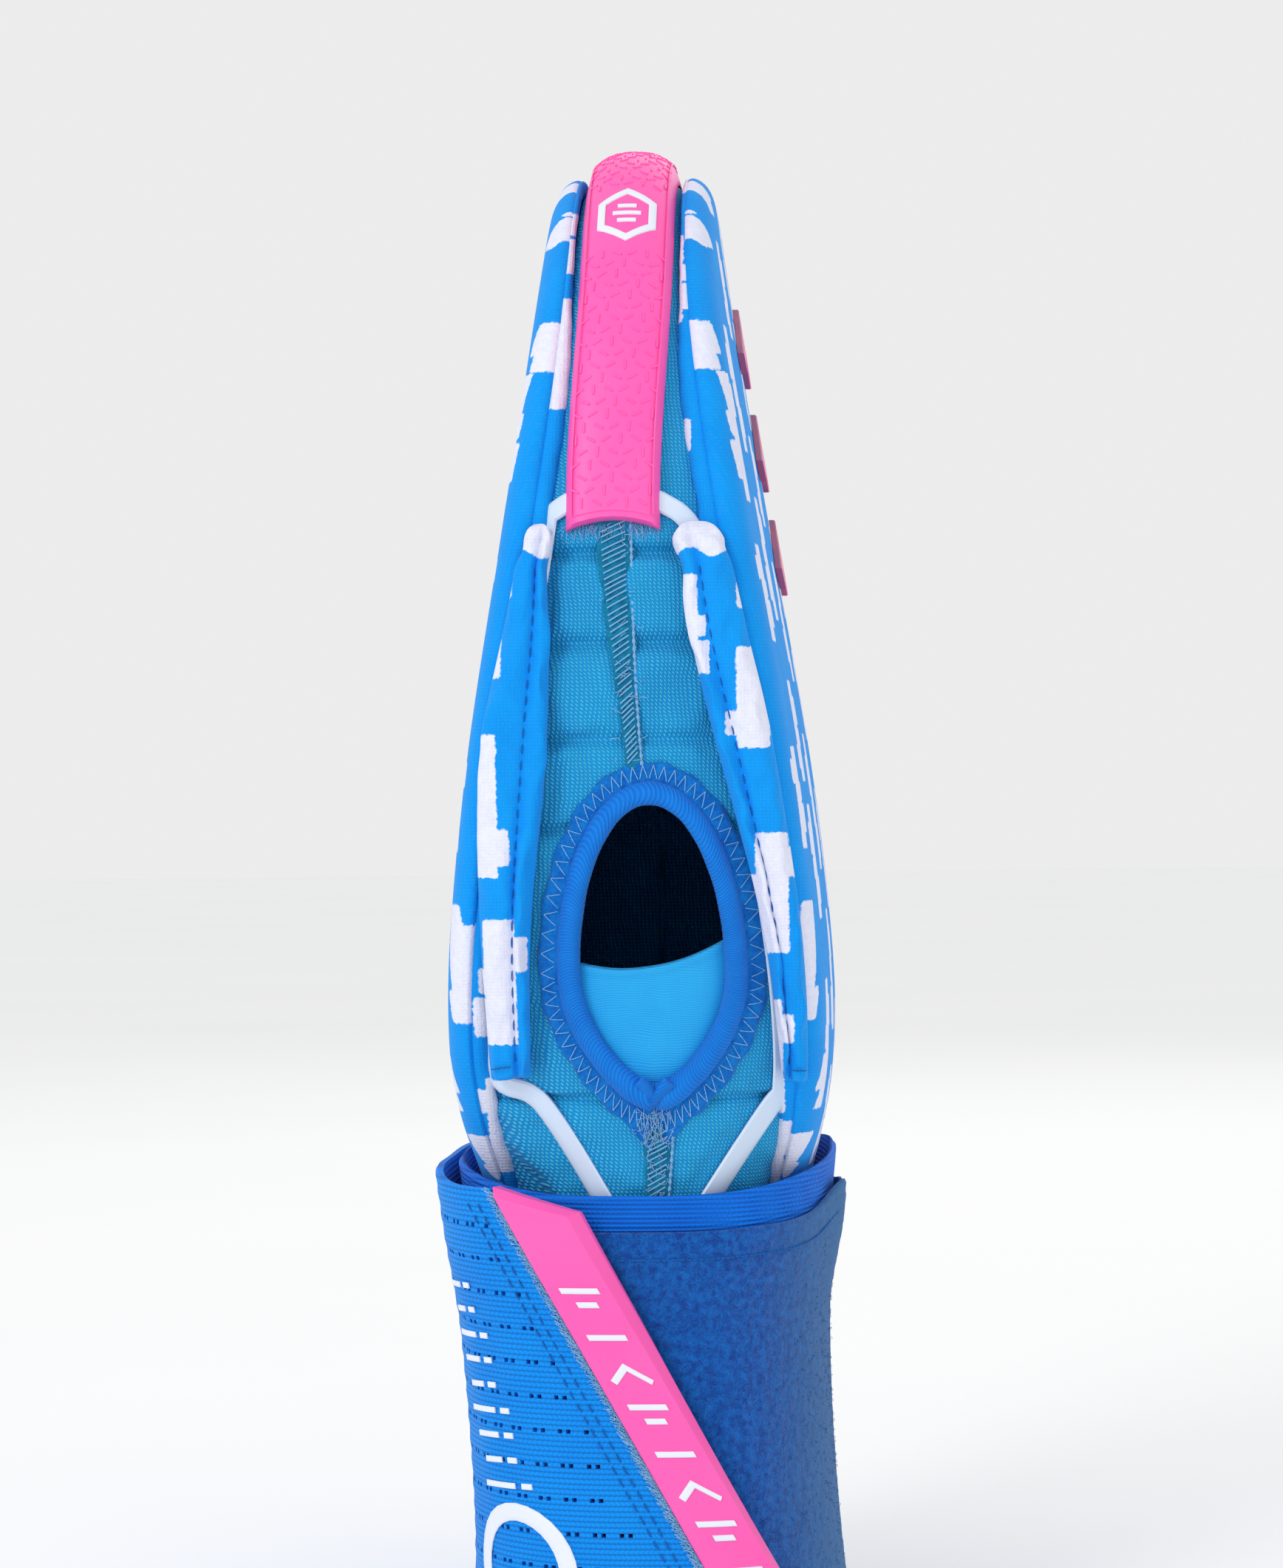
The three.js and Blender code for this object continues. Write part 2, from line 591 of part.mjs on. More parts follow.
// Centre it over the origin, standing on its cuff.
const box = new THREE.Box3().setFromObject(mitt);
const centre = box.getCenter(new THREE.Vector3());
for (const mesh of mitt.children) mesh.geometry.translate(-centre.x, -centre.y, -box.min.z);

export default mitt;
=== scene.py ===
"""The looks of a baseball sliding mitt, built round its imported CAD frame.

Surfaces are worked out in millimetres in the design's own frame (+Z to the fingertips, -Y the thumb
side, +X the palm side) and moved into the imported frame, in metres, as each mesh is made.
"""

import math

import bpy
import numpy as np
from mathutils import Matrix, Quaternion, Vector


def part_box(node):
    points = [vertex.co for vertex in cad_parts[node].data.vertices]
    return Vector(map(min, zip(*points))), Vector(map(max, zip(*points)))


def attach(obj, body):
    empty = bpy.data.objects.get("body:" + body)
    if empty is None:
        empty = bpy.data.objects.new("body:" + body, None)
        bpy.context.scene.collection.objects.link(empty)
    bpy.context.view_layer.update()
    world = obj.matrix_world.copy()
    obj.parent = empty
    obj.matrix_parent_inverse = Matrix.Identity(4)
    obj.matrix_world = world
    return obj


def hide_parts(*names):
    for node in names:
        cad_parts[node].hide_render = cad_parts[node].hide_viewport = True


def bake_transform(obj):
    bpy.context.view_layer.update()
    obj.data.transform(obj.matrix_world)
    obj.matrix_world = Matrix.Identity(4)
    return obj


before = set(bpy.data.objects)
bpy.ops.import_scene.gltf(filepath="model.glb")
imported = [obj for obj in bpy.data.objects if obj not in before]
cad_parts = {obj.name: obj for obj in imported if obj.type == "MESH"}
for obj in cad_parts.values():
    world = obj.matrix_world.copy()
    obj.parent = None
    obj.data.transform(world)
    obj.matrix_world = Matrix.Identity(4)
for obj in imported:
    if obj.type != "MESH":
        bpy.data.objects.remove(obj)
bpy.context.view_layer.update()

MM = 0.001
SEED = 7
SIDES = ((-1, "back"), (1, "palm"))
EDGES = ((-1, "thumb"), (1, "little_finger"))

# ------------------------------------------------------------------ driving dimensions, as in the CAD
HEEL, RIM = 78, 86
BODY_EDGE = [
    (44.6, HEEL), (48.4, 95), (53.2, 112), (58, 132), (61.5, 160),
    (61, 190), (57, 218), (47.5, 241), (27, 259.5),
]
BODY_TIP = 265
PLATE_EDGE = [
    (24, HEEL), (37, 93), (48, 110), (56.4, 132), (61, 160),
    (60.5, 190), (56.5, 217), (46.8, 240), (26.5, 258),
]
PLATE_TIP = 263.5
CROWN_WIDTH = 62
GUSSET_INSET, GUSSET_POWER, GUSSET_THICKNESS = 3.5, 2.6, 3.2
BUMPER_HALF, BUMPER_THICKNESS, BUMPER_END = 7.8, 2.6, 197
GUARD_BOTTOM, GUARD_TOP, GUARD_BASE, GUARD_RIM, GUARD_HEIGHT = 108, 197, 1.9, 0.7, 3.7
STRIP_WIDTH, STRIP_MARGIN = 3.4, 0.5
THUMB_X, THUMB_BOTTOM, THUMB_TOP, THUMB_HALF, THUMB_WIDE, THUMB_BINDING = 3.6, 104, 153, 13.2, 124, 2.1
STRAP_BOTTOM, STRAP_TOP, STRAP_SEAM, SIDE_HINGE, FRONT_HINGE, STRAP_THICKNESS = 8, 89, 100, 140, 200, 1.6
TAB_TOP_X, TAB_BOTTOM_X, TAB_TOP_Z, TAB_BOTTOM_Z, TAB_WIDTH, TAB_END_X = -23.7, 18, 88, 8, 12.5, 28


def profile(*points):
    """A smooth function of height through a few (height, value) points."""
    z, value = np.array(points, float).T
    last = len(z) - 1
    low = np.maximum(np.arange(last + 1) - 1, 0)
    high = np.minimum(np.arange(last + 1) + 1, last)
    slope = (value[high] - value[low]) / (z[high] - z[low])

    def at(q):
        q = np.asarray(q, float)
        i = np.clip(np.searchsorted(z[1:-1], q), 0, last - 1)
        span = z[i + 1] - z[i]
        t = np.clip((q - z[i]) / span, 0, 1)
        bend = (1 - t) * slope[i] - t * slope[i + 1]
        return value[i] + (value[i + 1] - value[i]) * t * t * (3 - 2 * t) + span * t * (1 - t) * bend

    return at


outer_x = profile(
    (HEEL, 27.2), (88, 29.7), (98, 32.4), (110, 33.8), (130, 33),
    (160, 29.6), (200, 23), (240, 16.6), (268, 13),
)
plate_depth = profile((HEEL, 4), (125, 4.3), (160, 5), (230, 5), (268, 4.4))
crown = profile((HEEL, 8), (100, 5), (130, 3.5), (268, 3.5))
seam_x = profile((HEEL, 3), (104, 3.8), (150, 1.8), (197, -1.8), (240, 0), (268, 0))
foam_depth = profile((HEEL, 3.5), (120, 5.2), (170, 4.4), (235, 2.3), (268, 2))
guard_outer = profile((GUARD_BOTTOM, 24.2), (140, 25), (162, 24), (180, 20.2), (GUARD_TOP, 16.6))
guard_inner = profile(
    (GUARD_BOTTOM, 21), (126, 19.8), (138, 18.2), (150, 16), (163, 13.7), (180, 11.6), (GUARD_TOP, 11)
)
cuff_a = profile((0, 31), (30, 29.6), (60, 30), (HEEL, 32.2), (90, 33.6))
cuff_b = profile((0, 45.5), (30, 43.8), (60, 45.2), (HEEL, 48.6), (90, 50.6))
cuff_power = profile((0, 2.5), (HEEL, 3), (90, 3))
cuff_shift = profile((0, 3.2), (40, 1.4), (70, 0.3), (90, 0))


def ramp_up(count):
    """Evenly spaced shares from 0 to 1."""
    return np.linspace(0, 1, count)


def full_circle(count):
    """Evenly spaced angles from 0, in radians, all round a circle."""
    return np.linspace(0, 2 * math.pi, count, endpoint=False)


def bell(x, middle, width):
    return np.exp(-(((x - middle) / width) ** 2))


def run_length(points):
    """The distance from the first point along a row of points."""
    return np.concatenate([[0], np.cumsum(np.linalg.norm(np.diff(points, axis=0), axis=1))])


def grid(u, v):
    return np.meshgrid(u, v, indexing="ij")


def smoothstep(x, low, high):
    t = np.clip((x - low) / (high - low), 0, 1)
    return t * t * (3 - 2 * t)


def lerp(a, b, t):
    return a + (b - a) * t


# ------------------------------------------------------------------ curves and surfaces
class Edge:
    """A plane curve up the thumb side, over the fingertips and down the little-finger side."""

    def __init__(self, side, tip):
        up = [(-y, z) for y, z in side]
        points = np.array(up + [(0, tip)] + [(-y, z) for y, z in reversed(up)], float)
        ends = [2 * points[0] - points[1]], [2 * points[-1] - points[-2]]
        knots = np.concatenate([ends[0], points, ends[1]])
        spans = len(points) - 1
        self.t = np.linspace(0, 1, 40 * spans + 1)
        i = np.minimum((self.t * spans).astype(int), spans - 1)
        w = (self.t * spans - i)[:, None]
        p0, p1, p2, p3 = (knots[i + k] for k in range(4))
        pairs = (p0, p1), (p1, p2), (p2, p3)
        d0, d1, d2 = (np.sqrt(np.linalg.norm(b - a, axis=1))[:, None] for a, b in pairs)
        m1 = ((p1 - p0) / d0 - (p2 - p0) / (d0 + d1) + (p2 - p1) / d1) * d1
        m2 = ((p2 - p1) / d1 - (p3 - p1) / (d1 + d2) + (p3 - p2) / d2) * d1
        cubic = 2 * p1 - 2 * p2 + m1 + m2
        square = -3 * p1 + 3 * p2 - 2 * m1 - m2
        self.points = p1 + m1 * w + square * w * w + cubic * w**3
        slope = np.gradient(self.points, axis=0)
        slope /= np.linalg.norm(slope, axis=1)[:, None]
        self.normals = np.stack([-slope[:, 1], slope[:, 0]], 1)

    def at(self, t):
        return np.stack([np.interp(t, self.t, self.points[:, k]) for k in (0, 1)], -1)

    def normal(self, t):
        return np.stack([np.interp(t, self.t, self.normals[:, k]) for k in (0, 1)], -1)

    def reach(self, z, edge=-1):
        """The parameter where the curve comes to a height, on the thumb side (-1) or the other (1)."""
        half = len(self.t) // 2 + 1
        t = np.interp(z, self.points[:half, 1], self.t[:half])
        return t if edge < 0 else 1 - t


body_edge = Edge(BODY_EDGE, BODY_TIP)
plate_edge = Edge(PLATE_EDGE, PLATE_TIP)


def xyz(x, yz):
    return np.stack([np.broadcast_to(x, yz[..., 0].shape), yz[..., 0], yz[..., 1]], -1)


def on_plate(side, yz, depth):
    """A flat point of the plate, set at a depth below the plate's outer face."""
    drop = crown(yz[..., 1]) * (yz[..., 0] / CROWN_WIDTH) ** 2
    return xyz(side * (outer_x(yz[..., 1]) - drop - depth), yz)


HEEL_SHARE = 0.12
PLATE_CENTRE = np.array([0.0, 165.0])


def plate_outline(u, inset):
    """A point of the plate's closed outline, moved in by `inset`."""
    t = np.clip(u / (1 - HEEL_SHARE), 0, 1)
    lift = np.minimum(1, np.minimum(t * 12, (1 - t) * 12))
    curve = plate_edge.at(t) - plate_edge.normal(t) * inset[..., None]
    curve[..., 1] += inset * (1 - lift)
    across = lerp(1, -1, (u - 1 + HEEL_SHARE) / HEEL_SHARE) * (PLATE_EDGE[0][0] - inset)
    heel = np.stack([across, HEEL + inset], -1)
    return np.where((u < 1 - HEEL_SHARE)[..., None], curve, heel)


def gusset_end(side, t):
    end = plate_edge.at(t) - plate_edge.normal(t) * GUSSET_INSET
    return on_plate(side, end, plate_depth(end[..., 1]) + 0.3)


def seam_at(t):
    return np.where(t < 0.5, seam_x(body_edge.at(t)[..., 1]), 0)


def share_of(t, x, most):
    seam = seam_at(t)
    end = np.where((x < seam)[..., None], gusset_end(-1, t), gusset_end(1, t))
    return np.clip((x - seam) / (end[..., 0] - seam), 0, most), end


def body_point(t, x, lift=0.0):
    """The mesh body's outer surface on the edge at t, at distance x, lifted out of the edge."""
    t, x = np.broadcast_arrays(np.asarray(t, float), np.asarray(x, float))
    share, end = share_of(t, x, 1.25)
    yz = lerp(body_edge.at(t), end[..., 1:], (share**GUSSET_POWER)[..., None])
    return xyz(x, yz + body_edge.normal(t) * np.asarray(lift, float)[..., None])


def guard_point(t, x, lift):
    """A point over both the mesh body and a plate's edge."""
    t, x = np.broadcast_arrays(np.asarray(t, float), np.asarray(x, float))
    lift = np.asarray(lift, float)[..., None]
    share, _ = share_of(t, x, 1)
    near = body_edge.at(t) + body_edge.normal(t) * lift
    far = plate_edge.at(t) + plate_edge.normal(t) * (lift - GUARD_BASE + GUARD_RIM)
    return xyz(x, lerp(near, far, (share**GUSSET_POWER)[..., None]))


def thumb_outline(angle, grow):
    """The thumb hole's outline at an angle: pointed below, round above."""
    c, s = np.cos(angle), np.sin(angle)
    reach = np.where(s > 0, THUMB_TOP - THUMB_WIDE, THUMB_WIDE - THUMB_BOTTOM)
    width = np.where(s > 0, 1, 1 - 0.3 * s * s)
    x = THUMB_X + (THUMB_HALF + grow) * c * width
    return x, THUMB_WIDE + (reach + grow * np.where(s > 0, 1, 1.25)) * s


def thumb_point(angle, grow, lift):
    x, z = thumb_outline(angle, grow)
    return body_point(body_edge.reach(z), x, lift)


def cuff_point(degrees, z, out):
    """The cuff at an angle (270 is the thumb side, 180 the back of the hand), moved out by `out`."""
    a = np.radians(degrees)
    power = 2 / cuff_power(z)
    x = np.sign(np.cos(a)) * np.abs(np.cos(a)) ** power * (cuff_a(z) + out)
    y = np.sign(np.sin(a)) * np.abs(np.sin(a)) ** power * (cuff_b(z) + out)
    return np.stack(np.broadcast_arrays(x + cuff_shift(z), y, z), -1)


def front_angle(x, z, out=4.0):
    share = np.clip((x - cuff_shift(z)) / (cuff_a(z) + out), -1, 1)
    c = np.sign(share) * np.abs(share) ** (cuff_power(z) / 2)
    return 360 - np.degrees(np.arccos(c))


def rim_rise(degrees):
    return 4 * np.cos(np.radians(degrees)) ** 2


def strap_out(degrees):
    return 0.6 + 3.6 * smoothstep(degrees, 165, 225)


def strap_top(degrees):
    return STRAP_TOP - 1.5 * smoothstep(degrees, 190, 225)


def free_edge_x(z):
    return lerp(TAB_BOTTOM_X, TAB_TOP_X, (z - TAB_BOTTOM_Z) / (TAB_TOP_Z - TAB_BOTTOM_Z))


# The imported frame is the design's, moved so that its box is centred: the cuff's widest point says how far.
widest = cuff_point(0.0, 90.0, 0.0)[0]
SHIFT = np.array([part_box("cuff_elastic")[1].x / MM - widest, 0.0, 0.0])


def to_frame(points):
    return (np.asarray(points, float) + SHIFT) * MM


# ------------------------------------------------------------------ mesh tools
def make_object(name, vertices, faces, sharp=38):
    mesh = bpy.data.meshes.new(name)
    mesh.from_pydata(to_frame(vertices).tolist(), [], [tuple(f) for f in faces])
    mesh.validate()
    mesh.shade_smooth()
    mesh.set_sharp_from_angle(angle=math.radians(sharp))
    thing = bpy.data.objects.new(name, mesh)
    bpy.context.scene.collection.objects.link(thing)
    return thing


def weld(thing):
    """Joins the points that lie on each other and turns the faces outwards."""
    bpy.context.view_layer.objects.active = thing
    for other in bpy.context.selected_objects:
        other.select_set(False)
    thing.select_set(True)
    bpy.ops.object.mode_set(mode="EDIT")
    bpy.ops.mesh.select_all(action="SELECT")
    bpy.ops.mesh.remove_doubles(threshold=1e-6)
    bpy.ops.mesh.dissolve_degenerate(threshold=1e-7)
    bpy.ops.mesh.normals_make_consistent(inside=False)
    bpy.ops.object.mode_set(mode="OBJECT")
    return thing


def shell_mesh(front, back, around=False, cells=None):
    """A closed sheet between two grids of points, without the `cells` that are False."""
    nu, nv = front.shape[:2]
    columns = nu if around else nu - 1
    if cells is None:
        cells = np.ones((columns, nv - 1), bool)
    vertices = np.concatenate([front.reshape(-1, 3), back.reshape(-1, 3)])
    index = np.arange(nu * nv).reshape(nu, nv)
    if around:
        index = np.concatenate([index, index[:1]])
    a, b, c, d = index[:-1, :-1], index[1:, :-1], index[1:, 1:], index[:-1, 1:]
    quads = np.stack([a, b, c, d], -1)[cells]
    size = nu * nv
    faces = [quads, quads[:, ::-1] + size]
    open_cells = ~cells
    edge = np.ones((1, nv - 1), bool)
    before = np.concatenate([open_cells[-1:] if around else edge, open_cells[:-1]])
    after = np.concatenate([open_cells[1:], open_cells[:1] if around else edge])
    side = np.ones((columns, 1), bool)
    below = np.concatenate([side, open_cells[:, :-1]], 1)
    above = np.concatenate([open_cells[:, 1:], side], 1)
    for p, q, bare in ((d, a, before), (b, c, after), (a, b, below), (c, d, above)):
        wall = cells & bare
        faces.append(np.stack([q[wall], p[wall], p[wall] + size, q[wall] + size], -1))
    faces = np.concatenate(faces)
    used, renamed = np.unique(faces, return_inverse=True)
    return vertices[used], renamed.reshape(faces.shape)


def shell(name, front, back, around=False, cells=None, sharp=38):
    return weld(make_object(name, *shell_mesh(front, back, around, cells), sharp))


def lattice(rows, sides, closed=False, capped=True):
    """Faces of rings of points, one ring after the other; `closed` joins the last ring to the first."""
    faces = []
    for i in range(rows if closed else rows - 1):
        for j in range(sides):
            k, m = (i + 1) % rows, (j + 1) % sides
            faces.append((i * sides + j, k * sides + j, k * sides + m, i * sides + m))
    if capped and not closed:
        faces.append(tuple(range(sides)))
        faces.append(tuple(range(rows * sides - 1, (rows - 1) * sides - 1, -1)))
    return faces


def tube_mesh(path, radius, sides=5, closed=False):
    """A round tube along a path: its points and its faces."""
    path = np.asarray(path, float)
    tangent = np.roll(path, -1, 0) - np.roll(path, 1, 0) if closed else np.gradient(path, axis=0)
    tangent /= np.linalg.norm(tangent, axis=1)[:, None] + 1e-12
    up = np.array([0.31, 0.17, 0.94]) if abs(tangent[:, 2]).mean() < 0.8 else np.array([0.94, 0.31, 0.17])
    across = np.cross(tangent, up)
    across /= np.linalg.norm(across, axis=1)[:, None]
    other = np.cross(tangent, across)
    turn = np.arange(sides) * 2 * math.pi / sides
    radius = np.broadcast_to(radius, len(path))[:, None, None]
    ring = across[:, None] * np.cos(turn)[:, None] + other[:, None] * np.sin(turn)[:, None]
    vertices = (path[:, None] + ring * radius).reshape(-1, 3)
    return vertices, lattice(len(path), sides, closed)


def ring_object(name, points, closed):
    """A roll of cloth out of a grid of points whose second way runs round the roll."""
    return weld(make_object(name, points.reshape(-1, 3), lattice(*points.shape[:2], closed)))


def gather(name, parts, sharp=60):
    """One object out of many (vertices, faces)."""
    vertices, faces, start = [], [], 0
    for points, polygons in parts:
        vertices.append(points)
        faces += [tuple(int(i) + start for i in f) for f in polygons]
        start += len(points)
    return make_object(name, np.concatenate(vertices), faces, sharp)


def stroke_mesh(path, width, place, low, high, bevel=0.25, closed=False, step=0.8):
    """A raised bar of a given width along a flat path: place(a, b, height) puts it on a surface."""
    corners = [np.array(p, float) for p in path]
    runs = list(zip(corners, corners[1:] + corners[:1])) if closed else list(zip(corners, corners[1:]))
    points, offsets = [], []

    def normal(p, q):
        d = (q - p) / np.linalg.norm(q - p)
        return np.array([-d[1], d[0]])

    for i, (p, q) in enumerate(runs):
        n = normal(p, q)
        last_run = runs[i - 1] if i or closed else None
        if last_run is None:
            mitre = n
        else:
            mitre = n + normal(*last_run)
            mitre = mitre / (mitre @ n)
        points.append(p)
        offsets.append(mitre)
        for k in range(1, max(1, int(np.linalg.norm(q - p) / step))):
            points.append(lerp(p, q, k / max(1, int(np.linalg.norm(q - p) / step))))
            offsets.append(n)
    if not closed:
        points.append(runs[-1][1])
        offsets.append(normal(*runs[-1]))
    points, offsets = np.array(points), np.array(offsets)
    half = width / 2
    section = [(-half, low), (-half, high - bevel), (-half + bevel, high)]
    section += [(x, high) for x in np.linspace(-half + bevel, half - bevel, 4)[1:-1]]
    section += [(half - bevel, high), (half, high - bevel), (half, low), (0, low)]
    n, m = len(points), len(section)
    vertices = np.concatenate(
        [place(*(points + offsets * x).T, np.full(n, h)) for x, h in section]
    ).reshape(m, n, 3).transpose(1, 0, 2).reshape(-1, 3)
    return vertices, lattice(n, m, closed)


def apply_modifiers(thing):
    graph = bpy.context.evaluated_depsgraph_get()
    mesh = bpy.data.meshes.new_from_object(thing.evaluated_get(graph))
    thing.modifiers.clear()
    thing.data = mesh
    return thing


def subdivide(thing, levels=1):
    modifier = thing.modifiers.new("smooth", "SUBSURF")
    modifier.levels = modifier.render_levels = levels
    modifier.boundary_smooth = "PRESERVE_CORNERS"
    apply_modifiers(thing)
    thing.data.shade_smooth()
    return thing


def coordinates(mesh):
    flat = np.zeros(len(mesh.vertices) * 3)
    mesh.vertices.foreach_get("co", flat)
    return flat.reshape(-1, 3)


def puff(thing, free, pressure, cap, grow=0.02, frames=20):
    """Cloth pressure fills out the free points of a closed mesh, none further than `cap` mm."""
    rest = coordinates(thing.data)
    held = thing.vertex_groups.new(name="held")
    held.add([int(i) for i in np.flatnonzero(~free)], 1.0, "REPLACE")
    cloth = thing.modifiers.new("puff", "CLOTH")
    settings = cloth.settings
    settings.vertex_group_mass = "held"
    settings.quality = 6
    settings.use_pressure = True
    settings.uniform_pressure_force = pressure
    settings.effector_weights.gravity = 0
    settings.shrink_min = -grow
    cloth.point_cache.frame_end = frames
    scene = bpy.context.scene
    for f in range(1, frames + 1):
        scene.frame_set(f)
    graph = bpy.context.evaluated_depsgraph_get()
    moved = coordinates(thing.evaluated_get(graph).data) - rest
    length = np.linalg.norm(moved, axis=1)[:, None]
    moved = np.where(np.isfinite(moved), moved, 0) * np.minimum(1, cap * MM / np.maximum(length, 1e-9))
    thing.modifiers.clear()
    thing.vertex_groups.clear()
    scene.frame_set(1)
    thing.data.vertices.foreach_set("co", (rest + moved).ravel())
    thing.data.update()
    return thing


def millimetres(thing):
    return coordinates(thing.data) / MM - SHIFT


def puffed(front, back, free, around=False, **how):
    """The front grid of a closed pad after cloth pressure has filled out its free points."""
    pad = make_object("pad", *shell_mesh(front, back, around))
    puff(pad, np.stack([free, np.zeros_like(free)]).ravel(), **how)
    front = millimetres(pad)[: front[..., 0].size].reshape(front.shape)
    bpy.data.objects.remove(pad)
    return front


def settle(thing, body, slot, material, *replaced):
    """Rides on a body, takes its finish and stands for the CAD nodes it replaces."""
    if body:
        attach(thing, body)
    thing.data.materials.clear()
    thing.data.materials.append(material)
    if replaced:
        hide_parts(*replaced)
    return thing


# ------------------------------------------------------------------ materials
def rgb(code):
    """A six-digit screen colour as the linear colour that Blender works in."""
    channels = [int(code[i : i + 2], 16) / 255 for i in (0, 2, 4)]
    return [c / 12.92 if c < 0.04045 else ((c + 0.055) / 1.055) ** 2.4 for c in channels] + [1.0]


class Look:
    """A node material, built by short calls. Distances in its patterns are millimetres."""

    def __init__(self, name, roughness, sheen=0.0, specular=0.15, coat=0.0):
        self.material = bpy.data.materials.new(name)
        self.material.use_nodes = True
        self.tree = self.material.node_tree
        self.shader = self.tree.nodes["Principled BSDF"]
        self.shader.inputs["Roughness"].default_value = roughness
        self.shader.inputs["Sheen Weight"].default_value = sheen * 0.3
        self.shader.inputs["Sheen Roughness"].default_value = 0.4
        self.shader.inputs["Specular IOR Level"].default_value = specular
        self.shader.inputs["Coat Weight"].default_value = coat
        self.shader.inputs["Coat Roughness"].default_value = 0.25

    def node(self, kind, inputs=(), out=0, **settings):
        node = self.tree.nodes.new(kind)
        for key, value in settings.items():
            setattr(node, key, value)
        for key, value in dict(inputs).items():
            if isinstance(value, bpy.types.NodeSocket):
                self.tree.links.new(value, node.inputs[key])
            elif value is not None:
                node.inputs[key].default_value = value
        return node.outputs[out]

    def math(self, operation, *values, clamp=False):
        return self.node("ShaderNodeMath", dict(enumerate(values)), operation=operation, use_clamp=clamp)

    def times(self, a, b):
        return self.math("MULTIPLY", a, b)

    def plus(self, a, b):
        return self.math("ADD", a, b)

    def minus(self, a, b):
        return self.math("SUBTRACT", a, b)

    def over(self, a, b):
        return self.math("DIVIDE", a, b)

    def scaled(self, value, factor, offset):
        return self.math("MULTIPLY_ADD", value, factor, offset)

    def place(self, source="object"):
        """The three coordinates, in millimetres: of the object, or of the piece's own `mm` attribute."""
        if source == "object":
            vector = self.node("ShaderNodeTexCoord", out=3)
            vector = self.node("ShaderNodeVectorMath", {0: vector, 3: 1 / MM}, operation="SCALE")
        else:
            vector = self.node("ShaderNodeAttribute", out=1, attribute_name=source)
        split = self.node("ShaderNodeSeparateXYZ", {0: vector})
        return vector, *[split.node.outputs[i] for i in range(3)]

    def noise(self, vector, scale, detail=2.0, roughness=0.5):
        return self.node(
            "ShaderNodeTexNoise",
            {"Vector": vector, "Scale": scale, "Detail": detail, "Roughness": roughness},
        )

    def wave(self, coordinate, pitch, phase=0.0):
        """A sine of a coordinate from 0 to 1, once for each pitch."""
        turn = self.math("MULTIPLY_ADD", coordinate, 2 * math.pi / pitch, phase)
        return self.math("MULTIPLY_ADD", self.math("SINE", turn), 0.5, 0.5)

    def ramp(self, value, low, high, start=0.0, end=1.0):
        return self.node(
            "ShaderNodeMapRange",
            {0: value, 1: low, 2: high, 3: start, 4: end},
            interpolation_type="SMOOTHSTEP",
        )

    def mix(self, share, a, b):
        node = self.tree.nodes.new("ShaderNodeMix")
        node.data_type = "RGBA"
        for key, value in ((0, share), (6, a), (7, b)):
            if isinstance(value, bpy.types.NodeSocket):
                self.tree.links.new(value, node.inputs[key])
            else:
                node.inputs[key].default_value = value
        return node.outputs[2]

    def colour(self, socket):
        self.tree.links.new(socket, self.shader.inputs["Base Color"])

    def rough(self, socket):
        self.tree.links.new(socket, self.shader.inputs["Roughness"])

    def bump(self, height, depth):
        """Adds relief whose full height is `depth` mm."""
        normal = self.node("ShaderNodeBump", {"Height": height, "Distance": depth * MM, "Strength": 1.0})
        self.tree.links.new(normal, self.shader.inputs["Normal"])


PRINT_BLOCKS = ((0, 0, 2.1, 9.6), (1.9, 4.2, 2.7, 2.3), (-1.4, -5.2, 2.6, 1.9), (1.0, -1.2, 2.4, 1.3))
PRINT_PITCH, PRINT_RISE = 15.0, 28.0  # mm from blot to blot, across and up


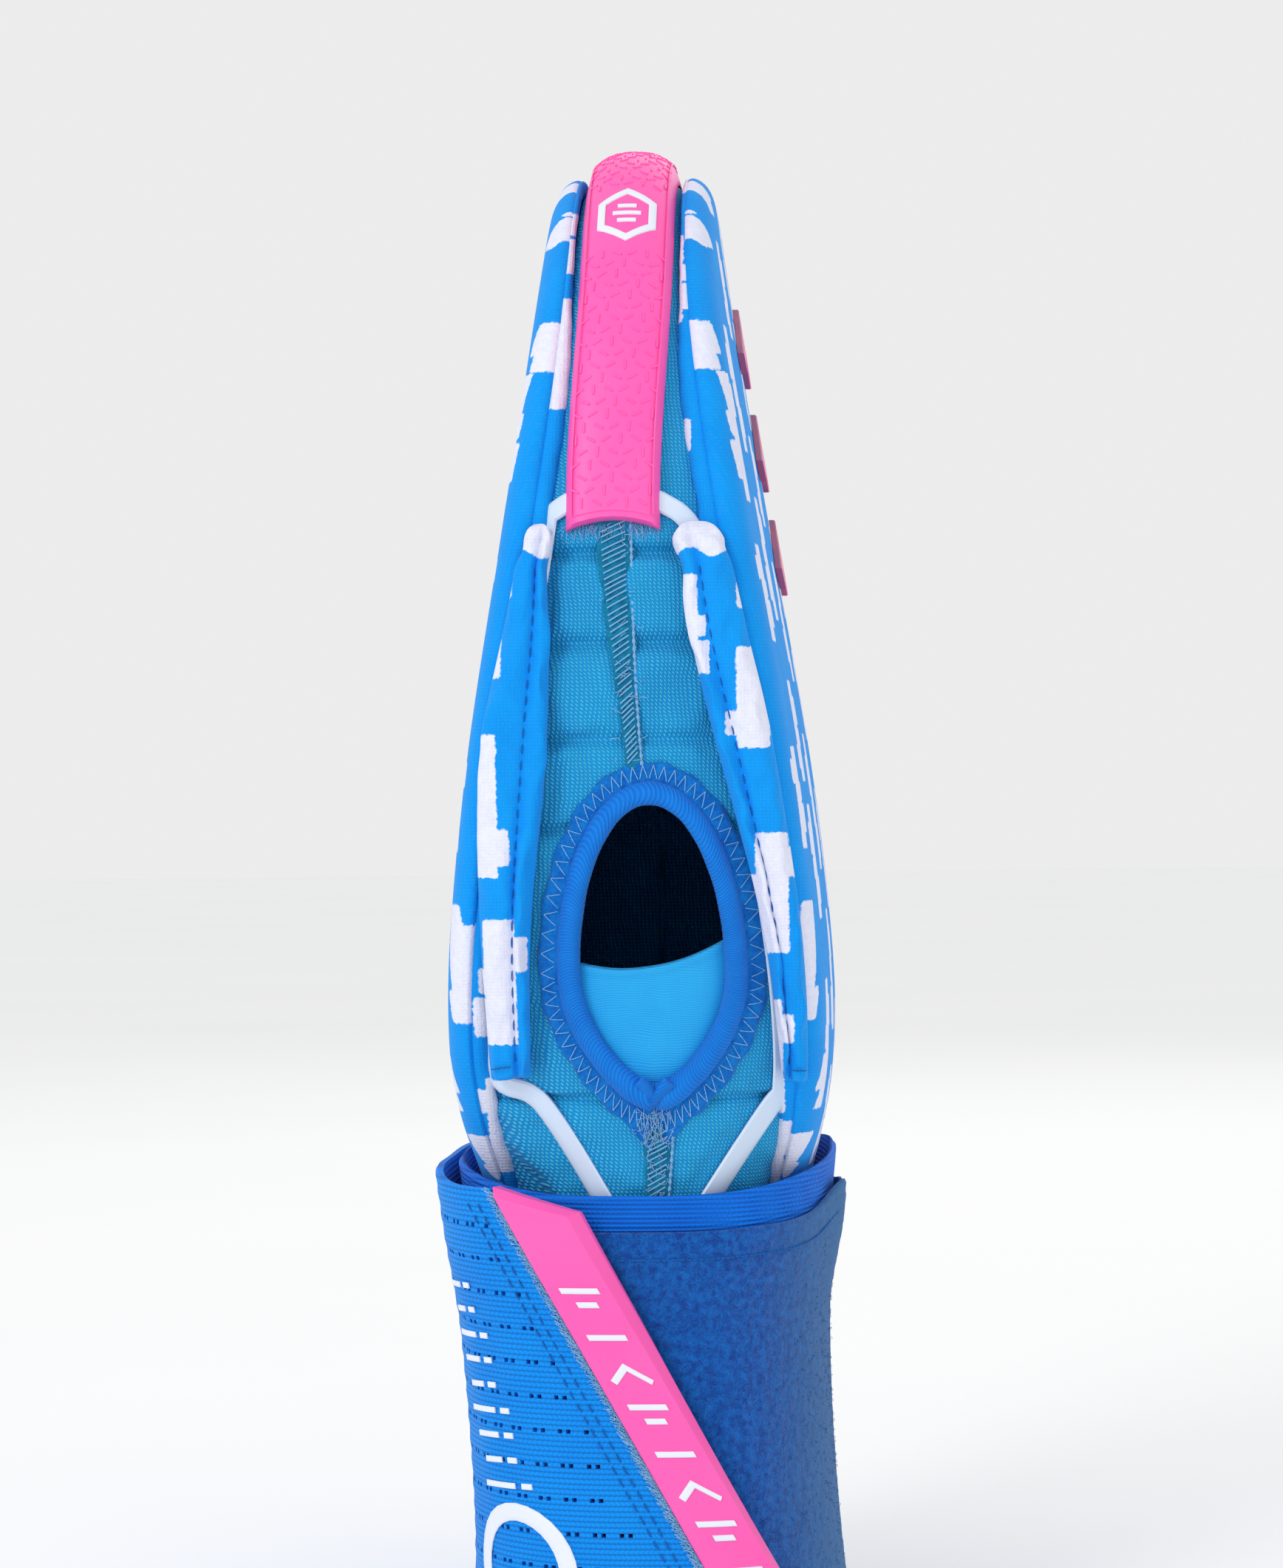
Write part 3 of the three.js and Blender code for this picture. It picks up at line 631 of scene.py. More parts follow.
def printed_fabric(name, across, white_above=None):
    """Bright knit with pale stepped blots, spaced along the axis `across`, and all pale above a height."""
    look = Look(name, 0.85, sheen=0.25)
    vector, x, y, z = look.place()
    p = x if across == "X" else y
    fuzz = look.minus(look.noise(vector, 1.4, 3), 0.5)
    p = look.scaled(fuzz, 0.9, p)
    q = look.scaled(fuzz, 0.9, z)
    column = look.over(p, PRINT_PITCH)
    whole = look.math("FLOOR", column)
    row = look.scaled(look.math("PINGPONG", whole, 1.0), 0.5, look.over(q, PRINT_RISE))
    cell = look.node("ShaderNodeCombineXYZ", {0: whole, 1: look.math("FLOOR", row)})
    random = look.node("ShaderNodeTexWhiteNoise", {0: cell}, out=1, noise_dimensions="2D")
    pick = look.node("ShaderNodeSeparateColor", {0: random}).node.outputs
    flip = look.math("SIGN", look.minus(pick[2], 0.5))
    a = look.times(look.minus(look.math("FRACT", column), 0.5), PRINT_PITCH)
    a = look.times(look.scaled(pick[0], 6.0, look.minus(a, 3.0)), flip)
    b = look.times(look.minus(look.math("FRACT", row), 0.5), PRINT_RISE)
    b = look.scaled(pick[1], 10.0, look.minus(b, 5.0))
    b = look.times(b, look.math("SIGN", look.minus(pick[0], 0.45)))
    b = look.times(b, look.scaled(pick[2], 0.5, 0.8))
    nearest = None
    for centre_a, centre_b, half_a, half_b in PRINT_BLOCKS:
        da = look.minus(look.math("ABSOLUTE", look.minus(a, centre_a)), half_a)
        db = look.minus(look.math("ABSOLUTE", look.minus(b, centre_b)), half_b)
        da, db = look.math("MAXIMUM", da, 0.0), look.math("MAXIMUM", db, 0.0)
        d = look.math("SQRT", look.plus(look.times(da, da), look.times(db, db)))
        nearest = d if nearest is None else look.math("MINIMUM", nearest, d)
    ink = look.ramp(nearest, 0.45, 0.75, 1.0, 0.0)
    if white_above:
        bend = look.scaled(look.math("SINE", look.times(x, 0.9)), 0.8, q)
        ink = look.math("MAXIMUM", ink, look.ramp(bend, white_above, white_above + 0.3))
    tone = look.noise(vector, 0.12, 3)
    blue = look.mix(tone, rgb("008ae6"), rgb("069cf2"))
    weave = look.times(look.wave(p, 0.62), look.wave(z, 0.56))
    # Painted highlight: the weave's raised threads are lightened towards a paler blue.
    blue = look.mix(look.times(weave, 0.2), blue, rgb("3cb0f6"))
    white = look.mix(look.noise(vector, 0.9, 3), rgb("d6daf2"), rgb("eceefa"))
    look.colour(look.mix(ink, blue, white))
    nap = look.noise(vector, 3.2, 3)
    look.bump(look.plus(look.times(weave, 0.6), look.times(nap, 0.9)), 0.1)
    return look.material


def open_mesh():
    """Coarse sandwich mesh: bumps in staggered columns over the ground, with a highlight painted paler on
    the bumps.
    """
    look = Look("mesh_fabric", 0.62, sheen=0.2)
    vector, x, y, z = look.place()
    drift = look.noise(vector, 0.16, 2)
    across = look.scaled(drift, 1.6, look.plus(x, look.times(y, 0.35)))
    columns = look.wave(across, 0.74)
    slant = look.math("PINGPONG", look.over(across, 0.74), 0.5)
    rows = look.wave(look.scaled(slant, 0.66, z), 0.64)
    knots = look.times(look.math("POWER", columns, 0.8), rows)
    ground = look.mix(look.noise(vector, 0.07, 2), rgb("0a80c2"), rgb("129ad8"))
    # Painted highlight: the raised knots are lightened towards a pale sky blue.
    look.colour(look.mix(look.ramp(knots, 0.12, 0.8), ground, rgb("50caf6")))
    look.bump(knots, 0.22)
    return look.material


def ribbed(name, dark, pale, pitch, depth, roughness=0.7, sheen=0.2, source="mm"):
    """Elastic knit: rows of small slanting stitches along the piece's second coordinate, with shade painted
    into the gaps between them.
    """
    look = Look(name, roughness, sheen=sheen)
    vector, s, v, _ = look.place(source)
    lean = look.math("PINGPONG", look.over(v, pitch), 1.0)
    stitch = look.wave(look.scaled(lean, 0.55, s), 0.95)
    rows = look.wave(v, pitch)
    knots = look.times(look.scaled(stitch, 0.6, 0.4), look.math("POWER", rows, 0.6))
    tone = look.noise(vector, 0.08, 3)
    base = look.mix(tone, rgb(dark), rgb(pale))
    # Painted shade: the gaps between the stitches are darkened towards navy.
    gap_shade = look.mix(0.45, base, rgb("02346e"))
    look.colour(look.mix(look.ramp(knots, 0.05, 0.6), gap_shade, base))
    look.bump(knots, depth)
    return look.material


def brushed(name, dark, pale, sheen, grain, depth, painted_sheen=None):
    """Napped cloth, such as loop pile or felt; the last argument paints a paler sheen colour in towards +X,
    where the cloth is seen at a grazing angle.
    """
    look = Look(name, 0.95, sheen=sheen, specular=0.2)
    vector, x, *_ = look.place()
    coarse, fine = look.noise(vector, grain / 4, 3), look.noise(vector, grain, 4, 0.7)
    share = look.plus(look.times(coarse, 0.5), look.times(fine, 0.5))
    base = look.mix(look.ramp(share, 0.34, 0.66), rgb(dark), rgb(pale))
    if painted_sheen:
        # Painted sheen: a paler colour is blended in towards +X, the side seen at a grazing angle.
        base = look.mix(look.ramp(x, 20, 37, 0.0, 0.45), base, rgb(painted_sheen))
    look.colour(base)
    look.bump(fine, depth)
    return look.material


def rolled_knit():
    """Fine rib knit whose ribs cross the binding at a slant."""
    look = Look("knit_binding", 0.8, sheen=0.35)
    vector, s, v, _ = look.place("mm")
    ribs = look.wave(look.scaled(v, 0.7, s), 0.55)
    tone = look.noise(vector, 0.25, 3)
    base = look.mix(tone, rgb("0462ca"), rgb("0c7ee2"))
    # Painted highlight: the ribs are lightened towards a paler blue.
    look.colour(look.mix(look.times(ribs, 0.35), base, rgb("2a98f0")))
    look.bump(look.plus(ribs, look.times(tone, 0.8)), 0.14)
    return look.material


def stretch_knit():
    """Smooth shiny stretch cloth with very fine courses."""
    look = Look("stretch_knit", 0.5, sheen=0.3)
    vector, x, _, z = look.place()
    courses = look.wave(look.scaled(look.noise(vector, 0.1, 2), 3.0, z), 0.42)
    wales = look.wave(x, 0.35)
    base = look.mix(look.noise(vector, 0.1, 3), rgb("0e96de"), rgb("1faaec"))
    # Painted highlight: the courses are lightened towards a pale blue, as a sheen on the shiny cloth.
    look.colour(look.mix(look.times(courses, 0.22), base, rgb("5cc8f6")))
    look.bump(look.plus(courses, look.times(wales, 0.4)), 0.035)
    return look.material


def moulded(name, base, pale, roughness, grain=0.04, specular=0.4, coat=0.0):
    """Moulded rubber or plastic: an even colour with faint flow marks, dust and a fine grain."""
    look = Look(name, roughness, specular=specular, coat=coat)
    vector, *_ = look.place()
    cloud, speck = look.noise(vector, 0.05, 3), look.noise(vector, 2.4, 3, 0.7)
    tone = look.scaled(look.ramp(speck, 0.58, 0.75), 0.35, look.times(cloud, 0.65))
    look.colour(look.mix(tone, rgb(base), rgb(pale)))
    look.rough(look.scaled(cloud, 0.16, roughness - 0.08))
    look.bump(speck, grain)
    return look.material


def thread(name, dark, pale):
    look = Look(name, 0.45, sheen=0.2)
    _, x, y, z = look.place()
    twist = look.wave(look.plus(look.plus(x, y), z), 0.3)
    look.colour(look.mix(twist, rgb(dark), rgb(pale)))
    look.bump(twist, 0.05)
    return look.material


PRINT_FACE = printed_fabric("printed_fabric", "Y")
PRINT_EDGE = printed_fabric("printed_fabric_edge", "X")
PRINT_GUARD = printed_fabric("printed_fabric_guard", "X", white_above=GUARD_TOP - 4)
MESH = open_mesh()
ELASTIC = ribbed("cuff_elastic", "0668da", "0a7cf0", 0.8, 0.2)
STRAP = ribbed("strap_elastic", "0084ec", "0898f6", 0.9, 0.12)
LINING = brushed("lining", "0b5fae", "1574c6", 0.4, 1.5, 0.12)
FACING = brushed("facing", "0560b8", "0f7cd0", 0.5, 2.0, 0.16)
# The loop pile's paler teal towards +X is painted sheen.
PILE = brushed("loop_pile", "023c94", "0a6cc8", 0.9, 3.4, 0.34, painted_sheen="067aa2")
KNIT = rolled_knit()
SLEEVE = stretch_knit()
PINK_RUBBER = moulded("pink_rubber", "ff52ae", "ff6cbc", 0.42)
BADGE_TOP = moulded("badge_top", "e8649c", "f47fb0", 0.35)
# A darker copy of badge_top, for shade painted on the chevrons' sides.
BADGE_SHADE_SIDE = moulded("badge_painted_shade", "a04a6e", "b86488", 0.4)
WHITE_RUBBER = moulded("white_rubber", "dfe6f2", "eef2fa", 0.45)
WHITE_STRIP = moulded("white_strip", "c9dcf2", "dbe9f8", 0.32, grain=0.015, coat=0.2)
SHELL = moulded("slider_shell", "cfd6de", "dfe4ea", 0.4)
FOAM = brushed("foam", "23282e", "3a4048", 0.1, 3.0, 0.2)
HOOK = moulded("hook_tape", "0a2f66", "174684", 0.5)
DARK_THREAD = thread("dark_thread", "064e9e", "1c78c8")
SEAM_TAPE = brushed("seam_tape", "0a6a90", "1688b0", 0.3, 2.2, 0.2)
FRAY = thread("fray", "4a9cd8", "a8cff0")


def lay_out(thing, along):
    """Stores each point's place on its own surface, for the woven patterns."""
    points = millimetres(thing)
    attribute = thing.data.attributes.new("mm", "FLOAT_VECTOR", "POINT")
    s, v = along(points)
    attribute.data.foreach_set("vector", np.stack([s, v, np.zeros(len(s))], 1).astype(np.float32).ravel())


# ------------------------------------------------------------------ camera, light and floor
LIGHTS = (  # name, place in metres, size in metres, watts
    ("key", (-0.7, -1.1, 0.75), 0.5, 5.5),
    ("fill", (0.9, -0.9, 0.35), 0.7, 0.9),
    ("back", (0.2, 1.1, 0.9), 0.8, 1.6),
)
WORLD_STRENGTH = 0.84
EYE = 700.0  # mm from the mitt's axis to the camera
EYE_TURN = 3.0  # degrees towards the palm side
EYE_ROLL = -0.7  # degrees
EYE_HEIGHT = 155.2
VIEW_HEIGHT = 283.0  # mm that the picture spans at the mitt's axis
AIM_X = -0.8


def make_camera():
    data = bpy.data.cameras.new("camera")
    data.sensor_width = 36
    data.lens = data.sensor_width * EYE / VIEW_HEIGHT
    camera = bpy.data.objects.new("camera", data)
    bpy.context.scene.collection.objects.link(camera)
    turn = math.radians(EYE_TURN)
    right = Vector((math.cos(turn), math.sin(turn), 0))
    back = Vector((math.sin(turn), -math.cos(turn), 0))
    aim = Vector((SHIFT[0], 0, EYE_HEIGHT)) + right * AIM_X
    camera.location = (aim + back * EYE) * MM
    roll = Quaternion((0, 0, 1), math.radians(EYE_ROLL))
    camera.rotation_euler = ((-back).to_track_quat("-Z", "Y") @ roll).to_euler()
    bpy.context.scene.camera = camera


def area_light(name, place, size, power):
    """A round soft light that faces the mitt's middle."""
    data = bpy.data.lights.new(name, "AREA")
    data.shape, data.size, data.energy = "DISK", size, power
    light = bpy.data.objects.new(name, data)
    bpy.context.scene.collection.objects.link(light)
    light.location = place
    light.rotation_euler = (Vector((0, 0, 0.14)) - Vector(place)).to_track_quat("-Z", "Y").to_euler()


def make_stage():
    """A pale flat floor, a white world and the lamps."""
    white = Look("stage", 0.9, specular=0.1)
    vector, *_ = white.place()
    white.colour(white.mix(white.noise(vector, 0.004, 2), rgb("fafbfc"), rgb("ffffff")))
    bpy.ops.mesh.primitive_plane_add(size=12, location=(0, 0, 0))
    floor = bpy.context.active_object
    floor.name = "floor"
    floor.data.materials.append(white.material)
    world = bpy.data.worlds.new("world")
    bpy.context.scene.world = world
    world.use_nodes = True
    sky = world.node_tree.nodes["Background"].inputs
    sky["Color"].default_value = (1, 1, 1, 1)
    sky["Strength"].default_value = WORLD_STRENGTH
    for light in LIGHTS:
        area_light(*light)
    bpy.context.scene.view_settings.view_transform = "Standard"


make_camera()
make_stage()


# ------------------------------------------------------------------ plates
COVER_INSETS = (11, 8.5, 6.5, 5, 3.7, 2.5, 1.5, 0.7, 0.2, 0, 0.1, 0.6)
COVER_DEPTHS = (0, 0, 0.02, 0.1, 0.28, 0.6, 1.1, 1.8, 2.6, 3.3)
COVER_INNER_INSETS = (11, 8.5, 6.7, 5.4, 4.4, 3.5, 2.7, 2, 1.5, 1.25, 1.3, 1.6)
COVER_INNER_DEPTHS = (1, 1, 1.02, 1.08, 1.2, 1.42, 1.75, 2.2, 2.8, 3.4)


def plate_rings(u, rings):
    """A grid round the plate's outline; a ring is (share of the way from the centre, inset, depth)."""
    columns = []
    for share, inset, depth in rings:
        flat = lerp(PLATE_CENTRE, plate_outline(u, np.full(len(u), float(inset))), share)
        columns.append((flat, depth(flat[:, 1]) if callable(depth) else np.full(len(u), float(depth))))
    return columns


def plate_grid(side, u, rings):
    return np.stack([on_plate(side, flat, depth) for flat, depth in plate_rings(u, rings)], 1)


def to_inside(gap):
    """A depth that stops short of the plate's inner face by `gap`, as a function of height."""
    return lambda z: plate_depth(z) - gap


def cover(side, name):
    """The printed cover: taut over the plate's face, and puffed where it turns over the rim."""
    u = np.arange(168) / 168
    middle = (0, 0.12, 0.26, 0.4, 0.55, 0.7, 0.85, 1)
    edge = (to_inside(0.7), to_inside(0.05))
    outside = [(share, 14, 0) for share in middle]
    outside += [(1, i, d) for i, d in zip(COVER_INSETS, (*COVER_DEPTHS, *edge))]
    inside = [(share, 14, 1) for share in middle]
    inside += [(1, i, d) for i, d in zip(COVER_INNER_INSETS, (*COVER_INNER_DEPTHS, *edge))]
    front = plate_grid(side, u, outside)
    flat_back = [(s, i, to_inside(0)) for s, i, _ in outside[:-1]] + [outside[-1]]
    free = np.zeros(front.shape[:2], bool)
    free[:, -len(COVER_INSETS) : -1] = True
    front = puffed(front, plate_grid(side, u, flat_back), free, around=True, pressure=5, cap=0.8)
    thing = shell(f"{name}_printed_cover", front, plate_grid(side, u, inside), around=True)
    subdivide(thing)
    settle(thing, "root", "printed_fabric", PRINT_FACE, f"{name}_cover")


def cover_roll(side, name):
    """The cover's rolled inner edge, which fills the corner between the plate and the mesh body."""
    low = float(plate_edge.reach(84))
    T, R = grid(np.linspace(low, 1 - low, 330), full_circle(14))
    flat, normal = plate_edge.at(T), plate_edge.normal(T)
    z = flat[..., 1]
    room = outer_x(z) - crown(z) * (flat[..., 0] / CROWN_WIDTH) ** 2 - plate_depth(z)
    reach = np.clip(room - BUMPER_HALF - 0.9, 0.5, 2.9)
    reach *= 1 + 0.05 * np.sin(T * 160) + 0.04 * np.sin(T * 411)
    middle = plate_depth(z) - 0.5 + reach / 2
    inward = normal * (2.1 - 1.9 * np.cos(R))[..., None]
    points = on_plate(side, flat - inward, middle + (reach / 2 + 0.5) * np.sin(R))
    thing = ring_object(f"{name}_cover_rolled_edge", points, closed=False)
    settle(thing, "root", "printed_fabric", PRINT_EDGE)


def lining(side, name):
    """The napped lining inside a plate, quilted in shallow rows."""
    u = np.arange(120) / 120
    shares = ramp_up(26)

    def face(extra, quilt):
        rings = plate_rings(u, [(s, 8.6, 0) for s in shares])
        columns = []
        for flat, _ in rings:
            z = flat[:, 1]
            depth = plate_depth(z) + foam_depth(z) + 0.3 + extra
            columns.append(on_plate(side, flat, depth + quilt * np.abs(np.sin(z * math.pi / 15))))
        return np.stack(columns, 1)

    thing = shell(f"{name}_quilted_lining", face(0, 0), face(0.5, 0.5), around=True)
    settle(thing, "root", "lining_fabric", LINING, f"{name}_lining")


def badges(side, name):
    """Raised chevrons pointing to the fingertips, with shade painted on their sides by a darker copy of
    their material.
    """
    for i, z in enumerate((227, 208, 189)):
        def place(y, height, h):
            return on_plate(side, np.stack([y, height], -1), -h - 0.1)

        path = [(-14.2, z + 2.2), (0, z + 11), (14.2, z + 2.2)]
        bars = stroke_mesh(path, 4.2, place, 0, 1.15, bevel=0.2)
        thing = weld(make_object(f"{name}_chevron_{i + 1}", *bars))
        settle(thing, "root", "badge_rubber", BADGE_TOP, f"{name}_badge_{i + 1}")
        # Painted shade: faces that don't face straight out take the darker copy of the badge material.
        thing.data.materials.append(BADGE_SHADE_SIDE)
        for polygon in thing.data.polygons:
            polygon.material_index = int(polygon.normal.x * side < 0.75)


for side, name in SIDES:
    cover(side, name)
    cover_roll(side, name)
    lining(side, name)
    badges(side, name)
    for node, material in ((f"{name}_slider_plate", SHELL), (f"{name}_foam_pad", FOAM)):
        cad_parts[node].data.materials.clear()
        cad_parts[node].data.materials.append(material)


# ------------------------------------------------------------------ mesh body
QUILTS = (193.6, 178.5, 162.6, 147.8, 102.3)  # heights of the sewn rows
QUILT_DEPTH = 1.5
EDGE_MM = 520  # roughly the length of the body's edge, which its parameter runs along
STRIP_ROUTE = [
    (5.6, 202.6), (8.6, 201.4), (12.4, 198.6), (17, 190), (21, 176), (25, 160), (28, 140),
    (29, 122), (28, 111), (26.5, 105.5), (21.5, 103.5), (17.6, 99), (7.7, 83),
]


def spline(points, count):
    """Evenly spaced points on a smooth curve through a few."""
    points = np.array(points, float)
    ends = np.concatenate([[2 * points[0] - points[1]], points, [2 * points[-1] - points[-2]]])
    w = np.linspace(0, 1, 30, endpoint=False)[:, None]
    pieces = []
    for p0, p1, p2, p3 in zip(ends, ends[1:], ends[2:], ends[3:]):
        m1, m2 = (p2 - p0) / 2, (p3 - p1) / 2
        pieces.append(p1 + m1 * w + (3 * (p2 - p1) - 2 * m1 - m2) * w**2 + (2 * (p1 - p2) + m1 + m2) * w**3)
    dense = np.concatenate([*pieces, points[-1:]])
    length = run_length(dense)
    at = np.linspace(0, length[-1], count)
    return np.stack([np.interp(at, length, dense[:, k]) for k in range(dense.shape[1])], 1)


def strip_path(side, edge, count=150):
    """A frame strip's centre line, as (x, z)."""
    route = spline(STRIP_ROUTE, count)
    t = body_edge.reach(route[:, 1], edge)
    seam = seam_x(route[:, 1]) if edge < 0 else 0
    limit = np.abs(gusset_end(side, t)[:, 0]) - STRIP_MARGIN - STRIP_WIDTH / 2
    route[:, 0] = side * np.minimum(side * seam + route[:, 0], limit)
    return route


def gusset(side, name):
    """One half of the mesh body, quilted in rows and puffed between them by cloth pressure."""
    quilts = body_edge.reach(np.array(QUILTS))
    near = (quilts[:, None] + np.array([-3, -1.5, -0.7, 0, 0.7, 1.5, 3]) / EDGE_MM).ravel()
    t = np.unique(np.round(np.concatenate([ramp_up(190), near, 1 - near]), 5))
    t = t[(t >= 0) & (t <= 1)]
    t = t[np.concatenate([[True], np.diff(t) > 0.0006])]
    v = ramp_up(15)
    T, V = grid(t, v)
    start = seam_at(T) + side * 0.15
    X = lerp(start, gusset_end(side, T)[..., 0], V)
    low, high = body_point(T, X), body_point(T, X, -GUSSET_THICKNESS)
    height = low[..., 2]
    groove = np.zeros(T.shape)
    for q in QUILTS:
        groove = np.maximum(groove, bell(body_edge.at(T)[..., 1], q, 0.9))
    groove *= body_edge.at(T)[..., 1] < BUMPER_END + 4
    strips = np.concatenate([
        body_point(body_edge.reach(p[:, 1], edge), p[:, 0])
        for edge, _ in EDGES for p in (strip_path(side, edge, 60),)
    ])
    # Free to puff: away from the sewn rows, the frame strips, the bumper and the outer edges.
    free = groove < 0.5
    free[:, :1] = free[:, -2:] = free[:1] = free[-1:] = False
    for i in range(free.shape[0]):
        gap = np.linalg.norm(low[i][:, None] - strips[None], axis=2).min(1)
        free[i] &= gap > 3
    free &= height < BUMPER_END + 2
    # The cloth stays flat under the facing, in an oval round the thumb hole.
    ring_x, ring_z = (low[..., 0] - THUMB_X) / (THUMB_HALF + 7), (height - 128) / 34
    free &= ~((ring_x**2 + ring_z**2 < 1) & (low[..., 1] < 0))
    low = puffed(low, high, free, pressure=16, cap=2.3, grow=0.06)
    normal = body_edge.normal(T)
    low[..., 1:] -= normal * (groove * QUILT_DEPTH)[..., None]
    thing = shell(f"{name}_quilted_mesh", low, high)
    subdivide(thing)
    angle = full_circle(72)
    outline_x, outline_z = thumb_outline(angle, THUMB_BINDING * 0.8)
    front = np.stack([outline_x, np.full(72, -80.0), outline_z], 1)
    rear = front + np.array([0, 45.0, 0])
    ring = [(i, (i + 1) % 72, (i + 1) % 72 + 72, i + 72) for i in range(72)]
    ends = [tuple(range(72)), tuple(range(143, 71, -1))]
    cutter = weld(make_object("cutter", np.concatenate([front, rear]), ring + ends))
    cut = thing.modifiers.new("hole", "BOOLEAN")
    cut.operation, cut.object, cut.solver = "DIFFERENCE", cutter, "EXACT"
    apply_modifiers(thing)
    bpy.data.objects.remove(cutter)
    thing.data.shade_smooth()
    thing.data.set_sharp_from_angle(angle=math.radians(50))
    settle(thing, "root", "mesh_fabric", MESH, f"{name}_mesh_gusset")


for side, name in SIDES:
    gusset(side, name)


# ------------------------------------------------------------------ frame strips and guards
def on_body(edge):
    return lambda x, z, h: body_point(body_edge.reach(z, edge), x, h)


def frame_strip(side, name, edge, where):
    path = [tuple(p) for p in strip_path(side, edge)]
    mesh = stroke_mesh(path, STRIP_WIDTH, on_body(edge), 0.1, 1.25, bevel=0.35, step=5)
    thing = make_object(f"{name}_{where}_white_strip", *mesh)
    settle(thing, "root", "frame_plastic", WHITE_STRIP, f"{name}_{where}_frame_strip")


def guard_edges(side, edge, z):
    """X of a guard's inner and outer sides at a height."""
    inner = guard_inner(z) + (side * seam_x(z) if edge < 0 else 0)
    outer = guard_outer(z)
    if edge < 0 < side:
        outer = outer + 4.8 * (1 - smoothstep(z, 112, 168))
    return side * inner, side * outer


def guard(side, name, edge, where):
    """A padded guard: a rolled inner hem, a stitched groove beside it, and a soft pad."""
    z = np.concatenate([
        np.linspace(GUARD_BOTTOM - 0.4, GUARD_BOTTOM + 3, 5),
        np.linspace(GUARD_BOTTOM + 5, GUARD_TOP - 4, 56),
        np.linspace(GUARD_TOP - 3, GUARD_TOP + 1.5, 6),
    ])
    across = [0, 0.02, 0.07, 0.14, 0.22, 0.29, 0.34, 0.38, 0.44, 0.54, 0.64, 0.74, 0.83, 0.91, 0.97, 1]
    Z, V = grid(z, across)
    inner, outer = guard_edges(side, edge, Z)
    scrunch = smoothstep(Z, GUARD_TOP - 7, GUARD_TOP + 1.5)
    inner = inner - side * 1.2 * scrunch
    X = lerp(inner, outer, V)
    Z = Z - 3.0 * np.abs(2 * V - 1) ** 3 * scrunch
    hem = np.sqrt(np.clip(1 - ((V - 0.17) / 0.17) ** 2, 0, 1))
    pad = np.sqrt(np.clip(1 - ((V - 0.67) / 0.335) ** 4, 0, 1))
    hem, pad = np.maximum(0.82 * hem, 0.45 * (V > 0.17)), np.maximum(0.95 * pad, 0.5 * (V < 0.67))
    shape = np.where(V < 0.36, hem, pad)
    from_end = np.minimum((Z - GUARD_BOTTOM + 0.4) / 1.6, (GUARD_TOP + 1.5 - Z) / 3.5)
    ends = np.sqrt(np.clip(from_end, 0, 1))
    wrinkle = scrunch * 0.5 * np.sin(Z * 2.1 + V * 9)
    lift = GUARD_BASE + (GUARD_HEIGHT * shape + wrinkle) * ends
    t = body_edge.reach(Z, edge)
    top, base = guard_point(t, X, lift), guard_point(t, X, np.full(Z.shape, GUARD_BASE - 0.05))
    free = (np.abs(V - 0.36) > 0.04) & (V > 0.01) & (V < 0.99)
    free[:2] = free[-2:] = False
    top = puffed(top, base, free, pressure=4, cap=0.8, grow=0.03)
    thing = shell(f"{name}_{where}_padded_guard", top, base, sharp=70)
    subdivide(thing)
    settle(thing, "root", "printed_fabric", PRINT_GUARD, f"{name}_{where}_guard")
    stitches = []
    height = GUARD_BASE + 0.5 * GUARD_HEIGHT + 0.12
    for low in np.arange(GUARD_BOTTOM + 3, GUARD_TOP - 6, 2.6):
        q = np.array([low, low + 0.6, low + 1.2, low + 1.8])
        a, b = guard_edges(side, edge, q)
        lift = height + np.array([-0.15, 0.1, 0.1, -0.15])
        stitches.append(tube_mesh(guard_point(body_edge.reach(q, edge), lerp(a, b, 0.36), lift), 0.16, 5))
    row = GUARD_BOTTOM + 3.2
    a, b = guard_edges(side, edge, np.array(row))
    t = np.full(3, float(body_edge.reach(row, edge)))
    for share in np.linspace(0.5, 0.85, 3 if abs(b - a) < 6 else 4):
        x = lerp(a, b, share) + np.array([-0.45, 0, 0.45])
        lift = GUARD_BASE + GUARD_HEIGHT * 0.97 + np.array([0.1, 0.45, 0.1])
        stitches.append(tube_mesh(guard_point(t, x, lift), 0.14, 5))
    rows = gather(f"{name}_{where}_guard_stitches", stitches)
    settle(rows, "root", "seam_thread", DARK_THREAD)


for side, name in SIDES:
    for edge, where in EDGES:
        frame_strip(side, name, edge, where)
        guard(side, name, edge, where)


# ------------------------------------------------------------------ bumper over the fingertips
EDGE_LENGTH = run_length(body_edge.points)


def along_edge(s):
    """The edge's parameter at a distance from its start."""
    return np.interp(s, EDGE_LENGTH, body_edge.t)


def edge_length(t):
    return np.interp(t, body_edge.t, EDGE_LENGTH)


BUMPER_START = edge_length(body_edge.reach(BUMPER_END))
BUMPER_STOP = edge_length(1 - body_edge.reach(BUMPER_END))


def on_bumper(x, s, height):
    t = along_edge(s)
    return body_point(t, seam_at(t) + x, 0.5 + BUMPER_THICKNESS + height)


